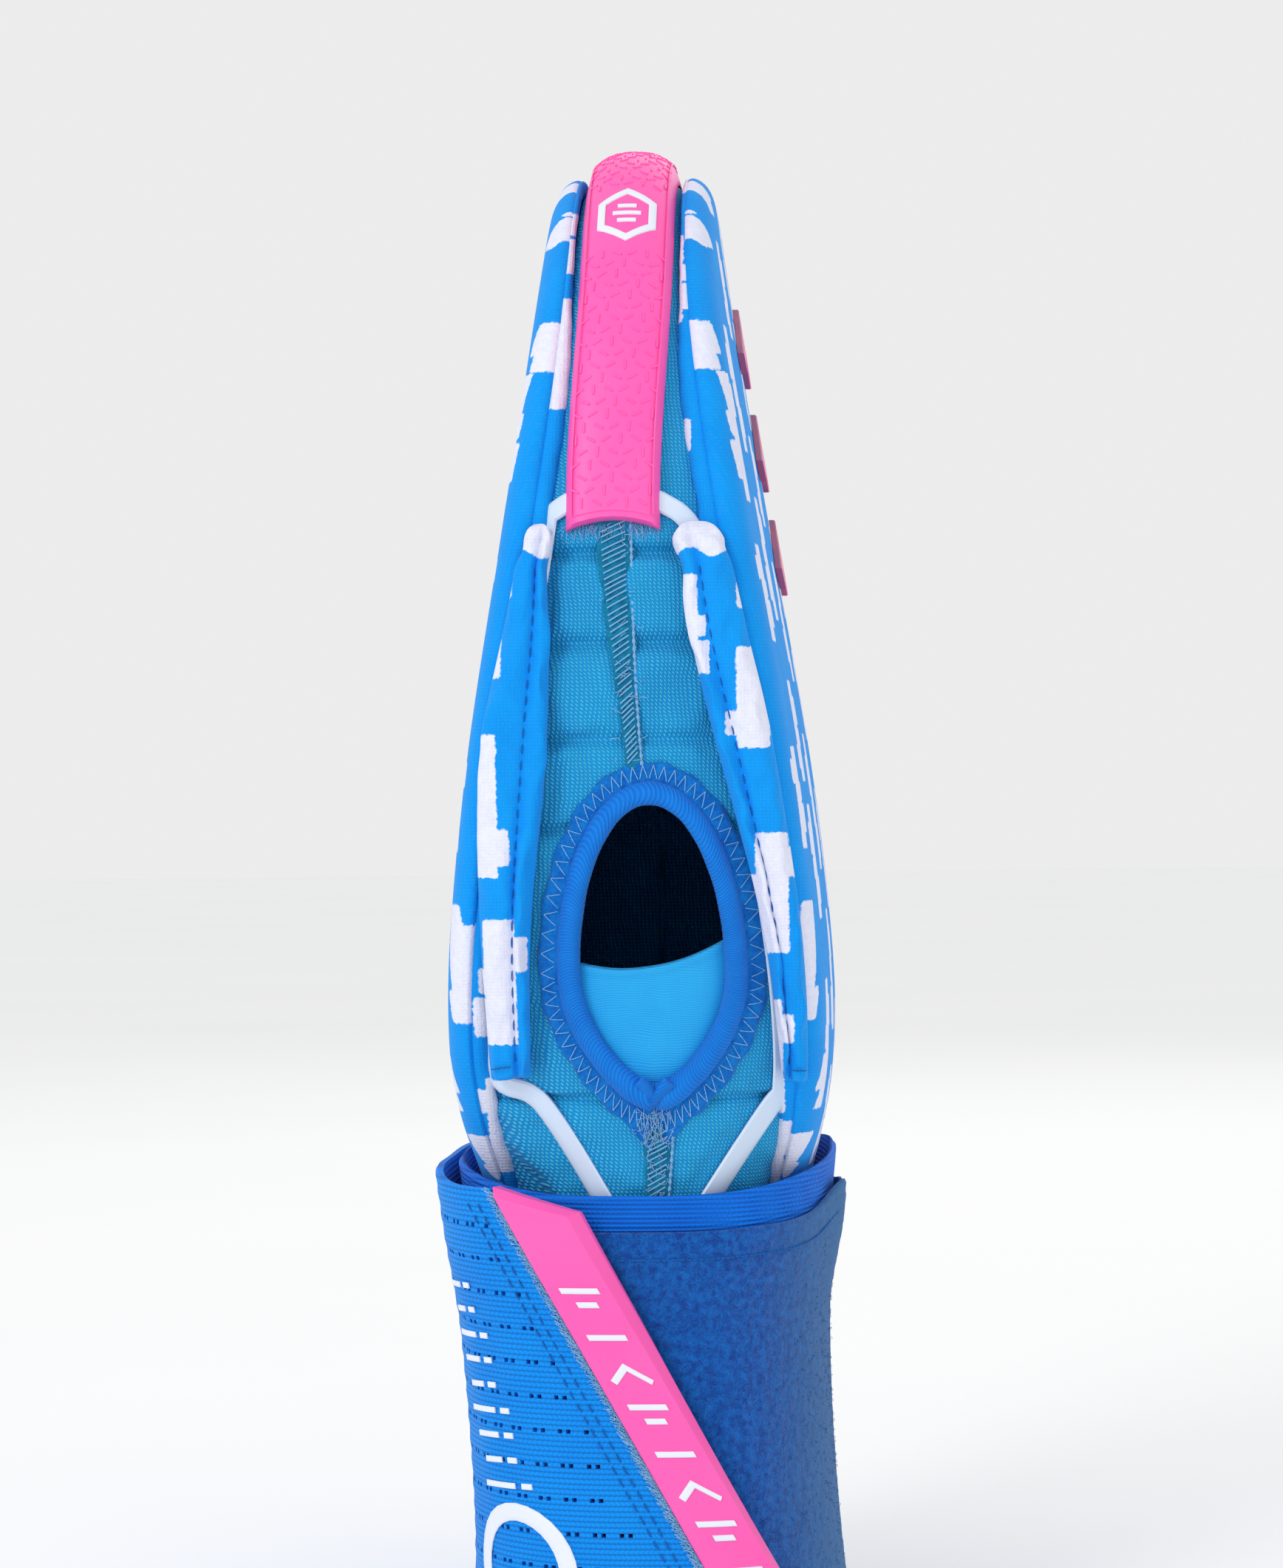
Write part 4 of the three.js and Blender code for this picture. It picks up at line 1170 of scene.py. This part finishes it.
def bumper():
    """The moulded bumper: rounded sides, a lip at each end, and a texture of raised dashes."""
    across = [-1, -0.985, -0.94, -0.86, -0.74, -0.5, -0.25, 0, 0.25, 0.5, 0.74, 0.86, 0.94, 0.985, 1]
    near_end = np.array([0, 0.15, 0.5, 1, 1.5, 1.7, 2, 2.6])
    between = np.linspace(BUMPER_START + 4, BUMPER_STOP - 4, 110)
    s = np.concatenate([BUMPER_START + near_end, between, BUMPER_STOP - near_end[::-1]])
    S, V = grid(s, across)
    from_end = np.minimum(S - BUMPER_START, BUMPER_STOP - S)
    round_side = 1 - (1 - np.clip((1 - np.abs(V)) / 0.26, 0, 1)) ** 2.5
    round_end = np.clip(from_end / 0.5, 0, 1) ** 0.5
    lip = 0.45 * smoothstep(-from_end, -1.7, -1.5)
    hollow = 1.6 * (1 - V * V) * np.clip(1 - from_end / 9, 0, 1)
    S = S + np.where(S < (BUMPER_START + BUMPER_STOP) / 2, hollow, -hollow)
    fullness = np.minimum(0.2 + 0.8 * round_side, 0.25 + 0.75 * round_end)
    lift = -BUMPER_THICKNESS * (1 - fullness) - lip * round_side * 0.6
    x = V * BUMPER_HALF
    base = on_bumper(x, S, np.full(S.shape, -BUMPER_THICKNESS))
    thing = shell("fingertip_bumper", on_bumper(x, S, lift), base)
    settle(thing, "root", "bumper_rubber", PINK_RUBBER, "tip_bumper")
    badge = BUMPER_START + 58
    parts = []
    for i in range(int((BUMPER_STOP - BUMPER_START) / 2.1)):
        for j in range(-3, 4):
            x, q = (j + 0.5 * (i % 2)) * 2.5, BUMPER_START + 4.2 + i * 2.1
            under_badge = abs(q - badge) < 9 and abs(x) < 6.5
            if abs(x) > BUMPER_HALF - 1.3 or q > BUMPER_STOP - 3.5 or under_badge:
                continue
            turn = math.radians((30, 90, 150)[(j + 2 * i) % 3])
            dx, dq = 0.8 * math.cos(turn), 0.8 * math.sin(turn)
            dash = [(x - dx, q - dq), (x + dx, q + dq)]
            parts.append(stroke_mesh(dash, 0.38, on_bumper, -0.1, 0.2, bevel=0.12, step=5))
    settle(gather("bumper_dashes", parts), "root", "bumper_rubber", PINK_RUBBER)
    turn = np.radians(np.arange(6) * 60)
    hexagon = [(5.0 * math.sin(a), badge + 6.2 * math.cos(a)) for a in turn]
    marks = [stroke_mesh(hexagon, 1.3, on_bumper, -0.1, 0.3, bevel=0.1, closed=True)]
    for q, half in ((-1.9, 1.6), (0, 2.4), (1.9, 1.6)):
        bar = [(-half, badge + q), (half, badge + q)]
        marks.append(stroke_mesh(bar, 0.8, on_bumper, -0.1, 0.3, bevel=0.1))
    settle(gather("bumper_marks", marks), "root", "bumper_rubber", WHITE_RUBBER)
    line = np.linspace(BUMPER_START + 2.2, BUMPER_STOP - 2.2, 160)
    beads = [
        tube_mesh(on_bumper(np.full(160, x), line, np.full(160, 0.02)), 0.17, 5)
        for x in (-BUMPER_HALF + 1.05, BUMPER_HALF - 1.05)
    ]
    settle(gather("bumper_border", beads), "root", "bumper_rubber", PINK_RUBBER)


# ------------------------------------------------------------------ seams
SEAM_FIBRES = 40


def seam(name, bottom, top, edge, wide, narrow):
    """A folded seam tape, oversewn with slanting threads and a beaded line at one side."""
    rng = np.random.default_rng(SEED + int(bottom))

    def half_width(z):
        return lerp(narrow, wide, smoothstep(z, bottom, top))

    def beside_seam(z, x, lift):
        t = body_edge.reach(z, edge)
        return body_point(t, seam_at(t) + x, lift)

    z = np.linspace(bottom, top, 90)
    across = np.linspace(-1, 1, 11)
    Z, V = grid(z, across)
    ridge = 0.35 * bell(V, 0, 0.35) + 0.5 + 0.09 * np.sin(Z * 2.4 + V * 3)
    lift = np.where(np.abs(V) > 0.95, 0.28, ridge + 0.1)
    x = V * half_width(Z)
    thing = shell(name, beside_seam(Z, x, lift), beside_seam(Z, x, 0.12 + 0 * lift))
    settle(thing, "root", "seam_thread", SEAM_TAPE, name.replace("_tape", ""))
    parts, q = [], bottom + 0.8
    while q < top - 1.6:
        h, u = float(half_width(q)) * 0.7, ramp_up(6)
        thread_path = beside_seam(q + u * 1.8, lerp(-h, h, u), 0.98 + 0.12 * np.sin(u * math.pi))
        parts.append(tube_mesh(thread_path, 0.13, 5))
        q += rng.uniform(0.75, 1.25)
    z = np.linspace(bottom, top, 240)
    bead = 0.08 * np.sin(z * 5)
    parts.append(tube_mesh(beside_seam(z, half_width(z) + 0.05, 0.42 + bead), 0.26 + bead, 6))
    for _ in range(SEAM_FIBRES):
        q, u = rng.uniform(bottom, top), ramp_up(5)
        x, dx, dz = rng.uniform(-wide, wide), rng.uniform(-1.6, 1.6), rng.uniform(-1.2, 1.2)
        parts.append(tube_mesh(beside_seam(q + dz * u, x + dx * u, 0.8 + 0.6 * np.sin(u * 3)), 0.07, 4))
    settle(gather(f"{name}_threads", parts), "root", "seam_thread", FRAY)


# ------------------------------------------------------------------ thumb hole
FULL_TURN = 2 * math.pi
BOTTOM = -math.pi / 2


def from_bottom(count):
    """Angles all round the thumb hole, from its point."""
    return BOTTOM + np.arange(count) * FULL_TURN / count


def thumb_hole():
    """The cloth facing round the thumb hole, its stitches, and the rolled binding with its tails."""
    angle = from_bottom(220)
    grow = np.linspace(1.7, 5.9, 10)
    A, G = grid(angle, grow)
    point = bell(A, BOTTOM, 0.2) + bell(A, BOTTOM + FULL_TURN, 0.2)
    wave = 0.12 * np.sin(A * 46 + G) + 0.1 * np.sin(A * 17)
    G = G + (G - 1.7) * (0.8 * point + 0.05 * np.sin(A * 23))
    lift = 0.75 + wave * (G > 2.2)
    lift[:, -1] = 0.35
    back = thumb_point(A, G, 0.2 + 0 * lift)
    facing = shell("thumb_facing_cloth", thumb_point(A, G, lift), back, around=True)
    settle(facing, "root", "facing_fabric", FACING, "thumb_hole_facing")
    # Zigzag stitches all round the facing, and loose fibres at its point.
    parts, count, u = [], 66, ramp_up(5)
    for i in range(count):
        a0, a1 = BOTTOM + (i + 0.1) * FULL_TURN / count, BOTTOM + (i + 0.9) * FULL_TURN / count
        peak = (a0 + a1) / 2
        for start, end, g0, g1 in ((a0, peak, 3.2, 5.4), (peak, a1, 5.4, 3.2)):
            path = thumb_point(lerp(start, end, u), lerp(g0, g1, u), 0.95 + 0.15 * np.sin(u * math.pi))
            parts.append(tube_mesh(path, 0.075, 4))
    rng = np.random.default_rng(SEED)
    for _ in range(120):
        a, g = rng.normal(BOTTOM, 0.12), rng.uniform(2.5, 7.5)
        turn, grow = a + u * rng.normal(0, 0.06), g + u * rng.normal(0, 1.2)
        path = thumb_point(turn, grow, 0.8 + rng.uniform(0.2, 0.9) * np.sin(u * 2.6))
        parts.append(tube_mesh(path, 0.06, 4))
    settle(gather("thumb_facing_threads", parts), "root", "seam_thread", FRAY)

    # The rolled binding, whose ribs cross it at a slant.
    angle = from_bottom(420)
    round_ = full_circle(18)
    A, R = grid(angle, round_)
    ribs = 0.035 * np.sin(A * 150 + R * 2.5)
    soft = 0.1 * np.sin(A * 9 + 1) + 0.08 * np.sin(A * 21)
    grow = 0.75 + (1.95 + 0.3 * soft + ribs) * np.cos(R)
    lift = 0.75 + (1.95 + soft + ribs) * np.sin(R)
    tight = bell(A, BOTTOM, 0.1) + bell(A, BOTTOM + FULL_TURN, 0.1)
    points = thumb_point(A, grow, lift * (1 - 0.35 * tight))
    roll = ring_object("thumb_rolled_binding", points, closed=True)
    lay_out(roll, lambda p: (np.arctan2(p[:, 0] - THUMB_X, p[:, 2] - 126) * 18, p[:, 1] * 0.8))
    settle(roll, "root", "knit_binding", KNIT, "thumb_hole_binding")
    tails = []
    for lean in (-1, 1):
        u = ramp_up(12)
        x, z = THUMB_X + lean * lerp(2.6, -1.5, u), lerp(106.2, 101.2, u)
        path = body_point(body_edge.reach(z), x, lerp(1.7, 0.5, u**2) + (0.35 if lean > 0 else 0))
        tails.append(tube_mesh(path, 1.15 * np.sqrt(1 - 0.75 * u**2), 12))
    ends = gather("thumb_binding_ends", tails)
    lay_out(ends, lambda p: (p[:, 0] - p[:, 2], p[:, 1]))
    settle(ends, "root", "knit_binding", KNIT)


def bumper_fray():
    """Loose fibres along the cut edges of the mesh, just below the bumper's ends."""
    rng = np.random.default_rng(SEED + 2)
    parts = []
    for _ in range(260):
        edge = rng.choice((-1, 1))
        x, w, lean = rng.uniform(-BUMPER_HALF, BUMPER_HALF), ramp_up(5), rng.normal(0, 0.8)
        z = BUMPER_END + 1.4 - rng.uniform(1.2, 3.4) * w
        t = body_edge.reach(z, edge)
        lift = 0.35 + rng.uniform(0.1, 0.9) * np.sin(w * 2.7)
        parts.append(tube_mesh(body_point(t, seam_at(t) + x + lean * w, lift), 0.05, 3))
    settle(gather("bumper_edge_fibres", parts), "root", "seam_thread", FRAY)


SLEEVE_BOTTOM, SLEEVE_TOP = 104.5, 127.2


def thumb_sleeve():
    """The stretch sleeve behind the thumb hole: its front wall, under tension."""
    z_share, across = ramp_up(40), np.linspace(-1, 1, 45)
    U, V = grid(z_share, across)
    top = SLEEVE_TOP - 2.0 * (1 - V * V) + 1.9 * V
    Z = lerp(SLEEVE_BOTTOM, top, U)
    below = ((THUMB_WIDE - Z) / (THUMB_WIDE - THUMB_BOTTOM)) ** 2
    width = np.where(Z > THUMB_WIDE, 1, 1 - 0.3 * below)
    c = np.where(Z > THUMB_WIDE, 1, np.sqrt(np.clip(1 - below, 0.03, 1)))
    X = THUMB_X + V * np.maximum(THUMB_HALF * width * c - 0.7, 0.4)
    t = body_edge.reach(Z)
    bow = 2.2 * (1 - V * V) * U
    hem = 0.3 * smoothstep(U, 0.93, 0.96)
    pull = 0.1 * np.sin(V * 7 + U * 5) * U
    front = body_point(t, X, bow - 0.55 + hem + pull)
    wall = shell("thumb_stretch_sleeve", front, body_point(t, X, bow - 1.5 + pull - hem * 0.5))
    settle(wall, "root", "sleeve_lycra", SLEEVE, "thumb_sleeve")


bumper()
bumper_fray()
seam("thumb_side_upper_seam_tape", 157.9, 198.6, -1, 2.9, 1.3)
seam("thumb_side_lower_seam_tape", 83, 97.5, -1, 2.5, 2.0)
seam("little_finger_seam_tape", 83, 195.5, 1, 2.2, 1.8)
thumb_hole()
thumb_sleeve()


# ------------------------------------------------------------------ cuff
def around_cuff(points):
    """Distance round the cuff and height, for the woven patterns."""
    a = np.unwrap(np.arctan2(points[:, 1] / 46, points[:, 0] / 32))
    return a * 39, points[:, 2]


def cuff_band(name, degrees, rows, outer, inner, height=None):
    """A band of the cuff between two distances out, and with heights, as functions of (degrees, z)."""
    D, Z = grid(degrees, rows)
    if height:
        Z = height(D, Z)
    return shell(name, cuff_point(D, Z, outer(D, Z)), cuff_point(D, Z, inner(D, Z)), around=True)


BAND_BOTTOM = 4.3
RIB_PITCH = 0.8


def full_turn(count):
    """Angles all round the cuff, from under the strap's sewn end."""
    return 118 + np.arange(count) * 360 / count


def cuff():
    """The ribbed elastic band, the lining inside it and the binding along its lower edge."""
    z = np.concatenate([np.linspace(BAND_BOTTOM, 62, 44), np.linspace(62.5, RIM, 130)])

    def raised(D, Z):
        return Z + rim_rise(D) * smoothstep(Z, 60, RIM)

    def weave(D, Z):
        row = Z - rim_rise(D) * smoothstep(Z, 60, 88)
        ribs = 0.09 * np.sin(row * 2 * math.pi / RIB_PITCH)
        top = 0.7 * smoothstep(row, RIM - 1, RIM)
        return ribs - top - 0.1

    def band_back(D, Z):
        return -1.4 + 0.25 * smoothstep(Z, 84, 90)

    def lining_face(D, Z):
        return -2 + 0 * Z

    def lining_back(D, Z):
        return -2.75 - 0.3 * np.abs(np.sin(Z * 0.21)) * np.abs(np.sin(np.radians(D) * 9)) ** 0.5

    band = cuff_band("cuff_elastic_band", full_turn(200), z, weave, band_back, raised)
    lay_out(band, around_cuff)
    settle(band, "root", "cuff_elastic", ELASTIC, "cuff_elastic")

    z_in = np.linspace(BAND_BOTTOM, 73, 50)
    inner = cuff_band("cuff_inner_lining", full_turn(140), z_in, lining_face, lining_back)
    settle(inner, "root", "lining_fabric", LINING, "cuff_lining")

    D, R = grid(full_turn(240), full_circle(14))
    ribs = 0.04 * np.sin(D * 3.1)
    Z = 2.05 + 1.95 * np.sin(R)
    out = -1.4 + (2.0 + ribs) * np.cos(R) * np.sqrt(np.clip(1.08 - 0.25 * np.sin(R) ** 2, 0, 2))
    points = cuff_point(D, Z, np.clip(out, -3.4, 0.9))
    binding = ring_object("cuff_hem_binding", points, closed=True)
    lay_out(binding, around_cuff)
    settle(binding, "root", "knit_binding", KNIT, "cuff_bottom_binding")


def loop_top(degrees):
    return 80 + 0.5 * rim_rise(degrees) + 3.4 * bell(degrees, -12, 16)


def loop_panel():
    """The broad panel of loop pile, hemmed at the top, its surface broken up by the nap."""
    rng = np.random.default_rng(SEED)
    degrees, u = np.linspace(-130, 90, 330), ramp_up(116)
    D, U = grid(degrees, u)
    Z = lerp(8, loop_top(D), U)
    corner = bell(D, -10, 10)
    hem = smoothstep(Z, loop_top(D) - 2.3, loop_top(D) - 1.9)
    nap = rng.normal(0, 0.04, D.shape) * (1 - hem)
    nap += 0.05 * np.sin(D * 0.9 + 3 * np.sin(Z * 0.31)) * np.sin(Z * 0.6)
    out = 1.4 + nap - 0.12 * hem + 1.2 * corner * smoothstep(Z, 60, 80)
    out = np.where((U > 0.999) | (U < 0.001), out - 0.35, out)
    back = cuff_point(D, Z, 0.5 + corner * smoothstep(Z, 60, 80))
    panel = shell("loop_pile_panel", cuff_point(D, Z, out), back, sharp=70)
    settle(panel, "root", "loop_pile", PILE, "loop_panel")
    parts = []
    for a in np.arange(-128, 88, 1.5):
        q = a + np.linspace(0, 0.95, 4)
        out = 1.4 + np.array([0, 0.2, 0.2, 0]) + 0.9 * bell(q, -10, 10)
        parts.append(tube_mesh(cuff_point(q, loop_top(q) - 4.7, out), 0.15, 5))
    settle(gather("loop_panel_stitches", parts), "root", "seam_thread", DARK_THREAD)
    # Loose loops that stand up out of the pile where it is in view.
    fibres, w = [], ramp_up(4)
    for _ in range(1500):
        a, z = rng.uniform(-125, 0), rng.uniform(10, 76)
        lean, up = rng.uniform(0, 2 * math.pi), rng.uniform(0.25, 0.6)
        turn, height = a + 0.75 * w * math.cos(lean), z + 0.55 * w * math.sin(lean)
        fibres.append(tube_mesh(cuff_point(turn, height, 1.35 + up * np.sin(w * math.pi)), 0.035, 3))
    settle(gather("loop_panel_nap", fibres), "root", "loop_pile", PILE)


# ------------------------------------------------------------------ strap
SIDE_LINE = ((-23.77, 33.36, 8), (-29.86, 39.2, 89))
FRONT_LINE = ((-30.52, -21.31, 8), (-36.37, -26.84, 89))
SPLIT = 172.0  # the angle where the strap's two meshes meet
MID_HEIGHT = 46.0
STITCH = np.array([-0.1, 0.12, 0.12, -0.1])  # how far a stitch's four points stand off the cloth
TURNS = np.linspace(120, 330, 300)
RUN = run_length(cuff_point(TURNS, np.full(300, MID_HEIGHT), 3.0))


def hinge_span(line, toward, reach=9.0):
    """Where a blend starts, on the hinge line's middle, and where it ends, `reach` mm further on."""
    middle = (np.array(line[0]) + np.array(line[1])) / 2
    step = cuff_point(float(toward), 46.0, 3.0) - middle
    step[2] = 0
    step *= reach / np.linalg.norm(step)
    return Vector(to_frame(middle)), Vector(to_frame(middle + step))


SIDE_BLEND = (hinge_span(SIDE_LINE, SIDE_HINGE + 12), "root", "strap_side")
FRONT_BLEND = (hinge_span(FRONT_LINE, FRONT_HINGE + 12), "strap_side", "strap_front")


def bend(thing, way):
    """Bakes a mesh's transform into its points: `way` is the blend's span and its two bodies."""
    (start, end), a, b = way
    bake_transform(thing)
    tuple(start)
    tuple(end)


HOLE_PITCH, HOLE_RISE, HOLE_START = 4.2, 5.9, 3.4  # mm: pair to pair, row to row, the first row


def perforated(name, degrees, slanted, holes_from):
    """A length of strap elastic with pairs of woven-in holes; `slanted` ends it at the tab."""
    length = run_length(cuff_point(degrees, np.full(len(degrees), MID_HEIGHT), 2.0))
    marks = np.array([0, 0.75, 1.35, 2.1, 3.15])
    stops = (np.arange(int(length[-1] / HOLE_PITCH) + 1)[:, None] * HOLE_PITCH + marks).ravel()
    stops = np.append(stops[stops < length[-1] - 0.3], length[-1])
    turn = np.interp(stops, length, degrees)
    pattern = np.arange(13)[:, None] * HOLE_RISE + np.array([HOLE_START, 4.15, 5.2, 6.8, 8.2])
    rows = np.concatenate([[0, 0.5, 1.2], pattern.ravel()])
    rows = np.append(rows[rows < 79.8], [80.4, 81.0])
    share = rows / rows[-1]
    D, U = grid(turn, share)
    Z = lerp(STRAP_BOTTOM, strap_top(D), U)
    if slanted:
        limit = front_angle(free_edge_x(Z) - 0.3, Z)
        D = np.minimum(D, limit)
    ripple = 0.09 * np.sin(Z * 1.6 + D * 0.02) + 0.07 * np.sin(D * 0.35 + Z * 0.11)
    edge = np.minimum(U, 1 - U) < 0.004
    inner = strap_out(D)
    outer = inner + STRAP_THICKNESS - 0.12 + ripple - 0.5 * edge
    columns = np.arange(len(turn) - 1)
    in_pair = ((columns % 5 == 0) | (columns % 5 == 2)) & (columns > 4) & (columns < len(columns) - 6)
    z_cell = (rows[:-1] + rows[1:]) / 2
    in_row = np.abs(((z_cell - HOLE_START) % HOLE_RISE) - 0.375) < 0.3
    in_row &= (z_cell > 6) & (z_cell < 76)
    hole = in_pair[:, None] & in_row[None] & (turn[:-1, None] > holes_from)
    if slanted:
        hole &= turn[:-1, None] < limit[:-1, :-1] - 7
        hole |= turn[:-1, None] > np.maximum(limit[:-1, :-1], limit[:-1, 1:])
    strap = shell(name, cuff_point(D, Z, outer), cuff_point(D, Z, inner), cells=~hole)
    lay_out(strap, around_cuff)
    return strap


def on_strap(lift):
    """Puts (distance round, height) on the strap's outer face."""
    def place(s, z, h):
        degrees = np.interp(s, RUN, TURNS)
        return cuff_point(degrees, z, strap_out(degrees) + STRAP_THICKNESS + lift + h)

    return place


def stitch(degrees, z, radius):
    return tube_mesh(cuff_point(degrees, z, strap_out(degrees) + STRAP_THICKNESS + STITCH), radius, 5)


def along_tab(share, z, out):
    """A point a distance past the strap's free edge, kept inside the tab's trimmed end."""
    x = np.minimum(free_edge_x(z) + share, TAB_END_X - 3.5 + 3.5 * np.clip(share / TAB_WIDTH, 0, 1))
    return cuff_point(front_angle(x, z), z, out)


def strap():
    """The strap's two lengths of elastic, their stitches and fibres, and the printed marks."""
    rear = perforated("strap_rear_elastic", np.linspace(STRAP_SEAM, SPLIT, 90), False, 108)
    settle(rear, None, "strap_elastic", STRAP, "strap_sewn_end", "strap_side_panel")
    bend(rear, SIDE_BLEND)
    fore = perforated("strap_fore_elastic", np.linspace(SPLIT, 318, 170), True, SPLIT + 3)
    settle(fore, None, "strap_elastic", STRAP, "strap_front_panel")
    bend(fore, FRONT_BLEND)

    # Stitching: two rows beside the tab, two rows at the sewn end.
    parts = []
    for away in (-3.4, -5.2):
        for z in np.arange(10, 84, 2.1):
            q = z + np.linspace(0, 1.35, 4)
            parts.append(stitch(front_angle(free_edge_x(q) + away, q), q, 0.15))
    rows = gather("strap_edge_stitches", parts)
    settle(rows, "strap_front", "seam_thread", DARK_THREAD)
    parts = []
    for a in (103, 109):
        for z in np.arange(10, 83, 2.2):
            parts.append(stitch(np.full(4, float(a)), z + np.linspace(0, 1.4, 4), 0.16))
    settle(gather("strap_anchor_stitches", parts), "root", "seam_thread", DARK_THREAD)

    # Frayed fibres all along the tab's sewn edge.
    rng = np.random.default_rng(SEED)
    parts = []
    for _ in range(1400):
        z, w = rng.uniform(10, 87), ramp_up(5)
        reach, rise, curl = rng.uniform(0.4, 1.9), rng.uniform(0.05, 0.6), rng.normal(0, 0.9)
        q = np.clip(z + curl * w**1.4, 8.5, 87.8)
        parts.append(tube_mesh(along_tab(0.5 - reach * w, q, 5.75 + rise * np.sin(w * 2.8)), 0.055, 3))
    settle(gather("tab_edge_fibres", parts), "strap_front", "seam_thread", FRAY)

    # Plain printed marks: a ring low down and a column of bars above it.
    place = on_strap(-0.06)
    low, top = (float(np.interp(a, TURNS, RUN)) for a in (236, 212))
    ring = [(low + 9 * math.cos(a), 22 + 10 * math.sin(a)) for a in np.radians(np.arange(28) * 360 / 28)]
    prints = [stroke_mesh(ring, 3.0, place, 0, 0.24, bevel=0.06, closed=True)]
    for i in range(9):
        z = 36 + i * 4.2
        s = lerp(low - 3.5, top, i / 9)
        long = (7.5, 4.5, 6.0)[i % 3]
        end = s + long / 2
        for bar in ([(s - long / 2, z), (end, z + 0.4)], [(end + 1.4, z + 0.5), (end + 3.4, z + 0.6)]):
            prints.append(stroke_mesh(bar, 1.0, place, 0, 0.24, bevel=0.06))
    marks = gather("strap_printed_marks", prints)
    settle(marks, None, "badge_rubber", WHITE_RUBBER)
    bend(marks, FRONT_BLEND)


TAB_FACE = 6.6  # mm from the cuff's surface to the tab's outer face


def on_tab(s, z, h):
    return along_tab(s, z, TAB_FACE + h)


def tab():
    """The moulded pull tab, its sewing flange, the hook patch behind it and its raised marks."""
    z = np.concatenate([[8.0, 8.2, 8.7, 9.4], np.linspace(10.5, 85, 88), [86.3, 86.5, 87.2, 87.8, 88.0]])
    # Across the tab: a rounded sewn side, a flat face and a long bevel on the free side.
    share = np.array([0.3, 0.45, 0.8, 1.4, 3.0, 5.0, 7.0, 9.0, 10.2, 10.6, 10.75, 11.3, 11.9, 12.4, 12.5])
    drop = np.array([1.0, 0.35, 0.1, 0, 0, 0, 0, 0, 0, 0, 0.06, 0.75, 1.5, 2.1, 2.5])
    Z, S = grid(z, share)
    fall = np.broadcast_to(drop, S.shape)
    cap = 1.6 * (1 - np.clip((TAB_TOP_Z - Z) / 1.6, 0, 1))
    cap += 0.8 * (1 - np.clip((Z - TAB_BOTTOM_Z) / 0.6, 0, 1)) ** 2
    flow = 0.03 * np.sin(Z * 0.7) * np.sin(S * 0.8)
    out = TAB_FACE - np.maximum(fall, cap) + flow
    # The upper end is cut on a slant.
    Z = Z - 0.33 * S * np.clip((Z - 71) / 17, 0, 1) ** 1.5
    back = along_tab(S, Z, np.full(Z.shape, 3.3))
    thing = shell("moulded_pull_tab", along_tab(S, Z, out), back, sharp=17)
    settle(thing, "strap_front", "tab_rubber", PINK_RUBBER, "pull_tab")
    Zf, Sf = grid(np.linspace(12, 84, 60), np.linspace(-6, -0.3, 8))
    flange = shell("tab_flange_strip", along_tab(Sf, Zf, 3.95 + 0 * Zf), along_tab(Sf, Zf, 3.25 + 0 * Zf))
    settle(flange, "strap_front", "tab_rubber", PINK_RUBBER, "tab_sewing_flange")
    Zh, Sh = grid(np.linspace(14, 72, 60), np.linspace(-10, 11.5, 24))
    hook = shell("hook_tape_patch", along_tab(Sh, Zh, 2.9 + 0 * Zh), along_tab(Sh, Zh, 2.35 + 0 * Zh))
    settle(hook, "strap_front", "hook_tape", HOOK, "hook_patch")
    parts = []
    w = ramp_up(4)
    for z in np.arange(15.5, 71, 1.6):
        for s in np.arange(-9, 10.6, 1.5):
            path = along_tab(s + 0.5 * np.sin(w * 2.6), z + 0 * w, 2.4 - 0.5 * np.sin(w * 2.2))
            parts.append(tube_mesh(path, 0.11, 3))
    settle(gather("hook_tape_hooks", parts), "strap_front", "hook_tape", HOOK)
    marks = []
    for i in range(9):
        q = 15.5 + i * 6.6
        if i % 3 == 0:
            paths = [[(3.0, q), (6.0, q + 2.6), (9.0, q)]]
        elif i % 3 == 1:
            paths = [[(3.0, q + 1), (9.0, q + 1)]]
        else:
            paths = [[(3.0, q + 2.4), (9.0, q + 2.4)], [(4.4, q), (7.6, q)]]
        marks += [stroke_mesh(path, 1.0, on_tab, -0.1, 0.32, bevel=0.1) for path in paths]
    settle(gather("tab_raised_marks", marks), "strap_front", "badge_rubber", WHITE_RUBBER)


cuff()
loop_panel()
strap()
tab()
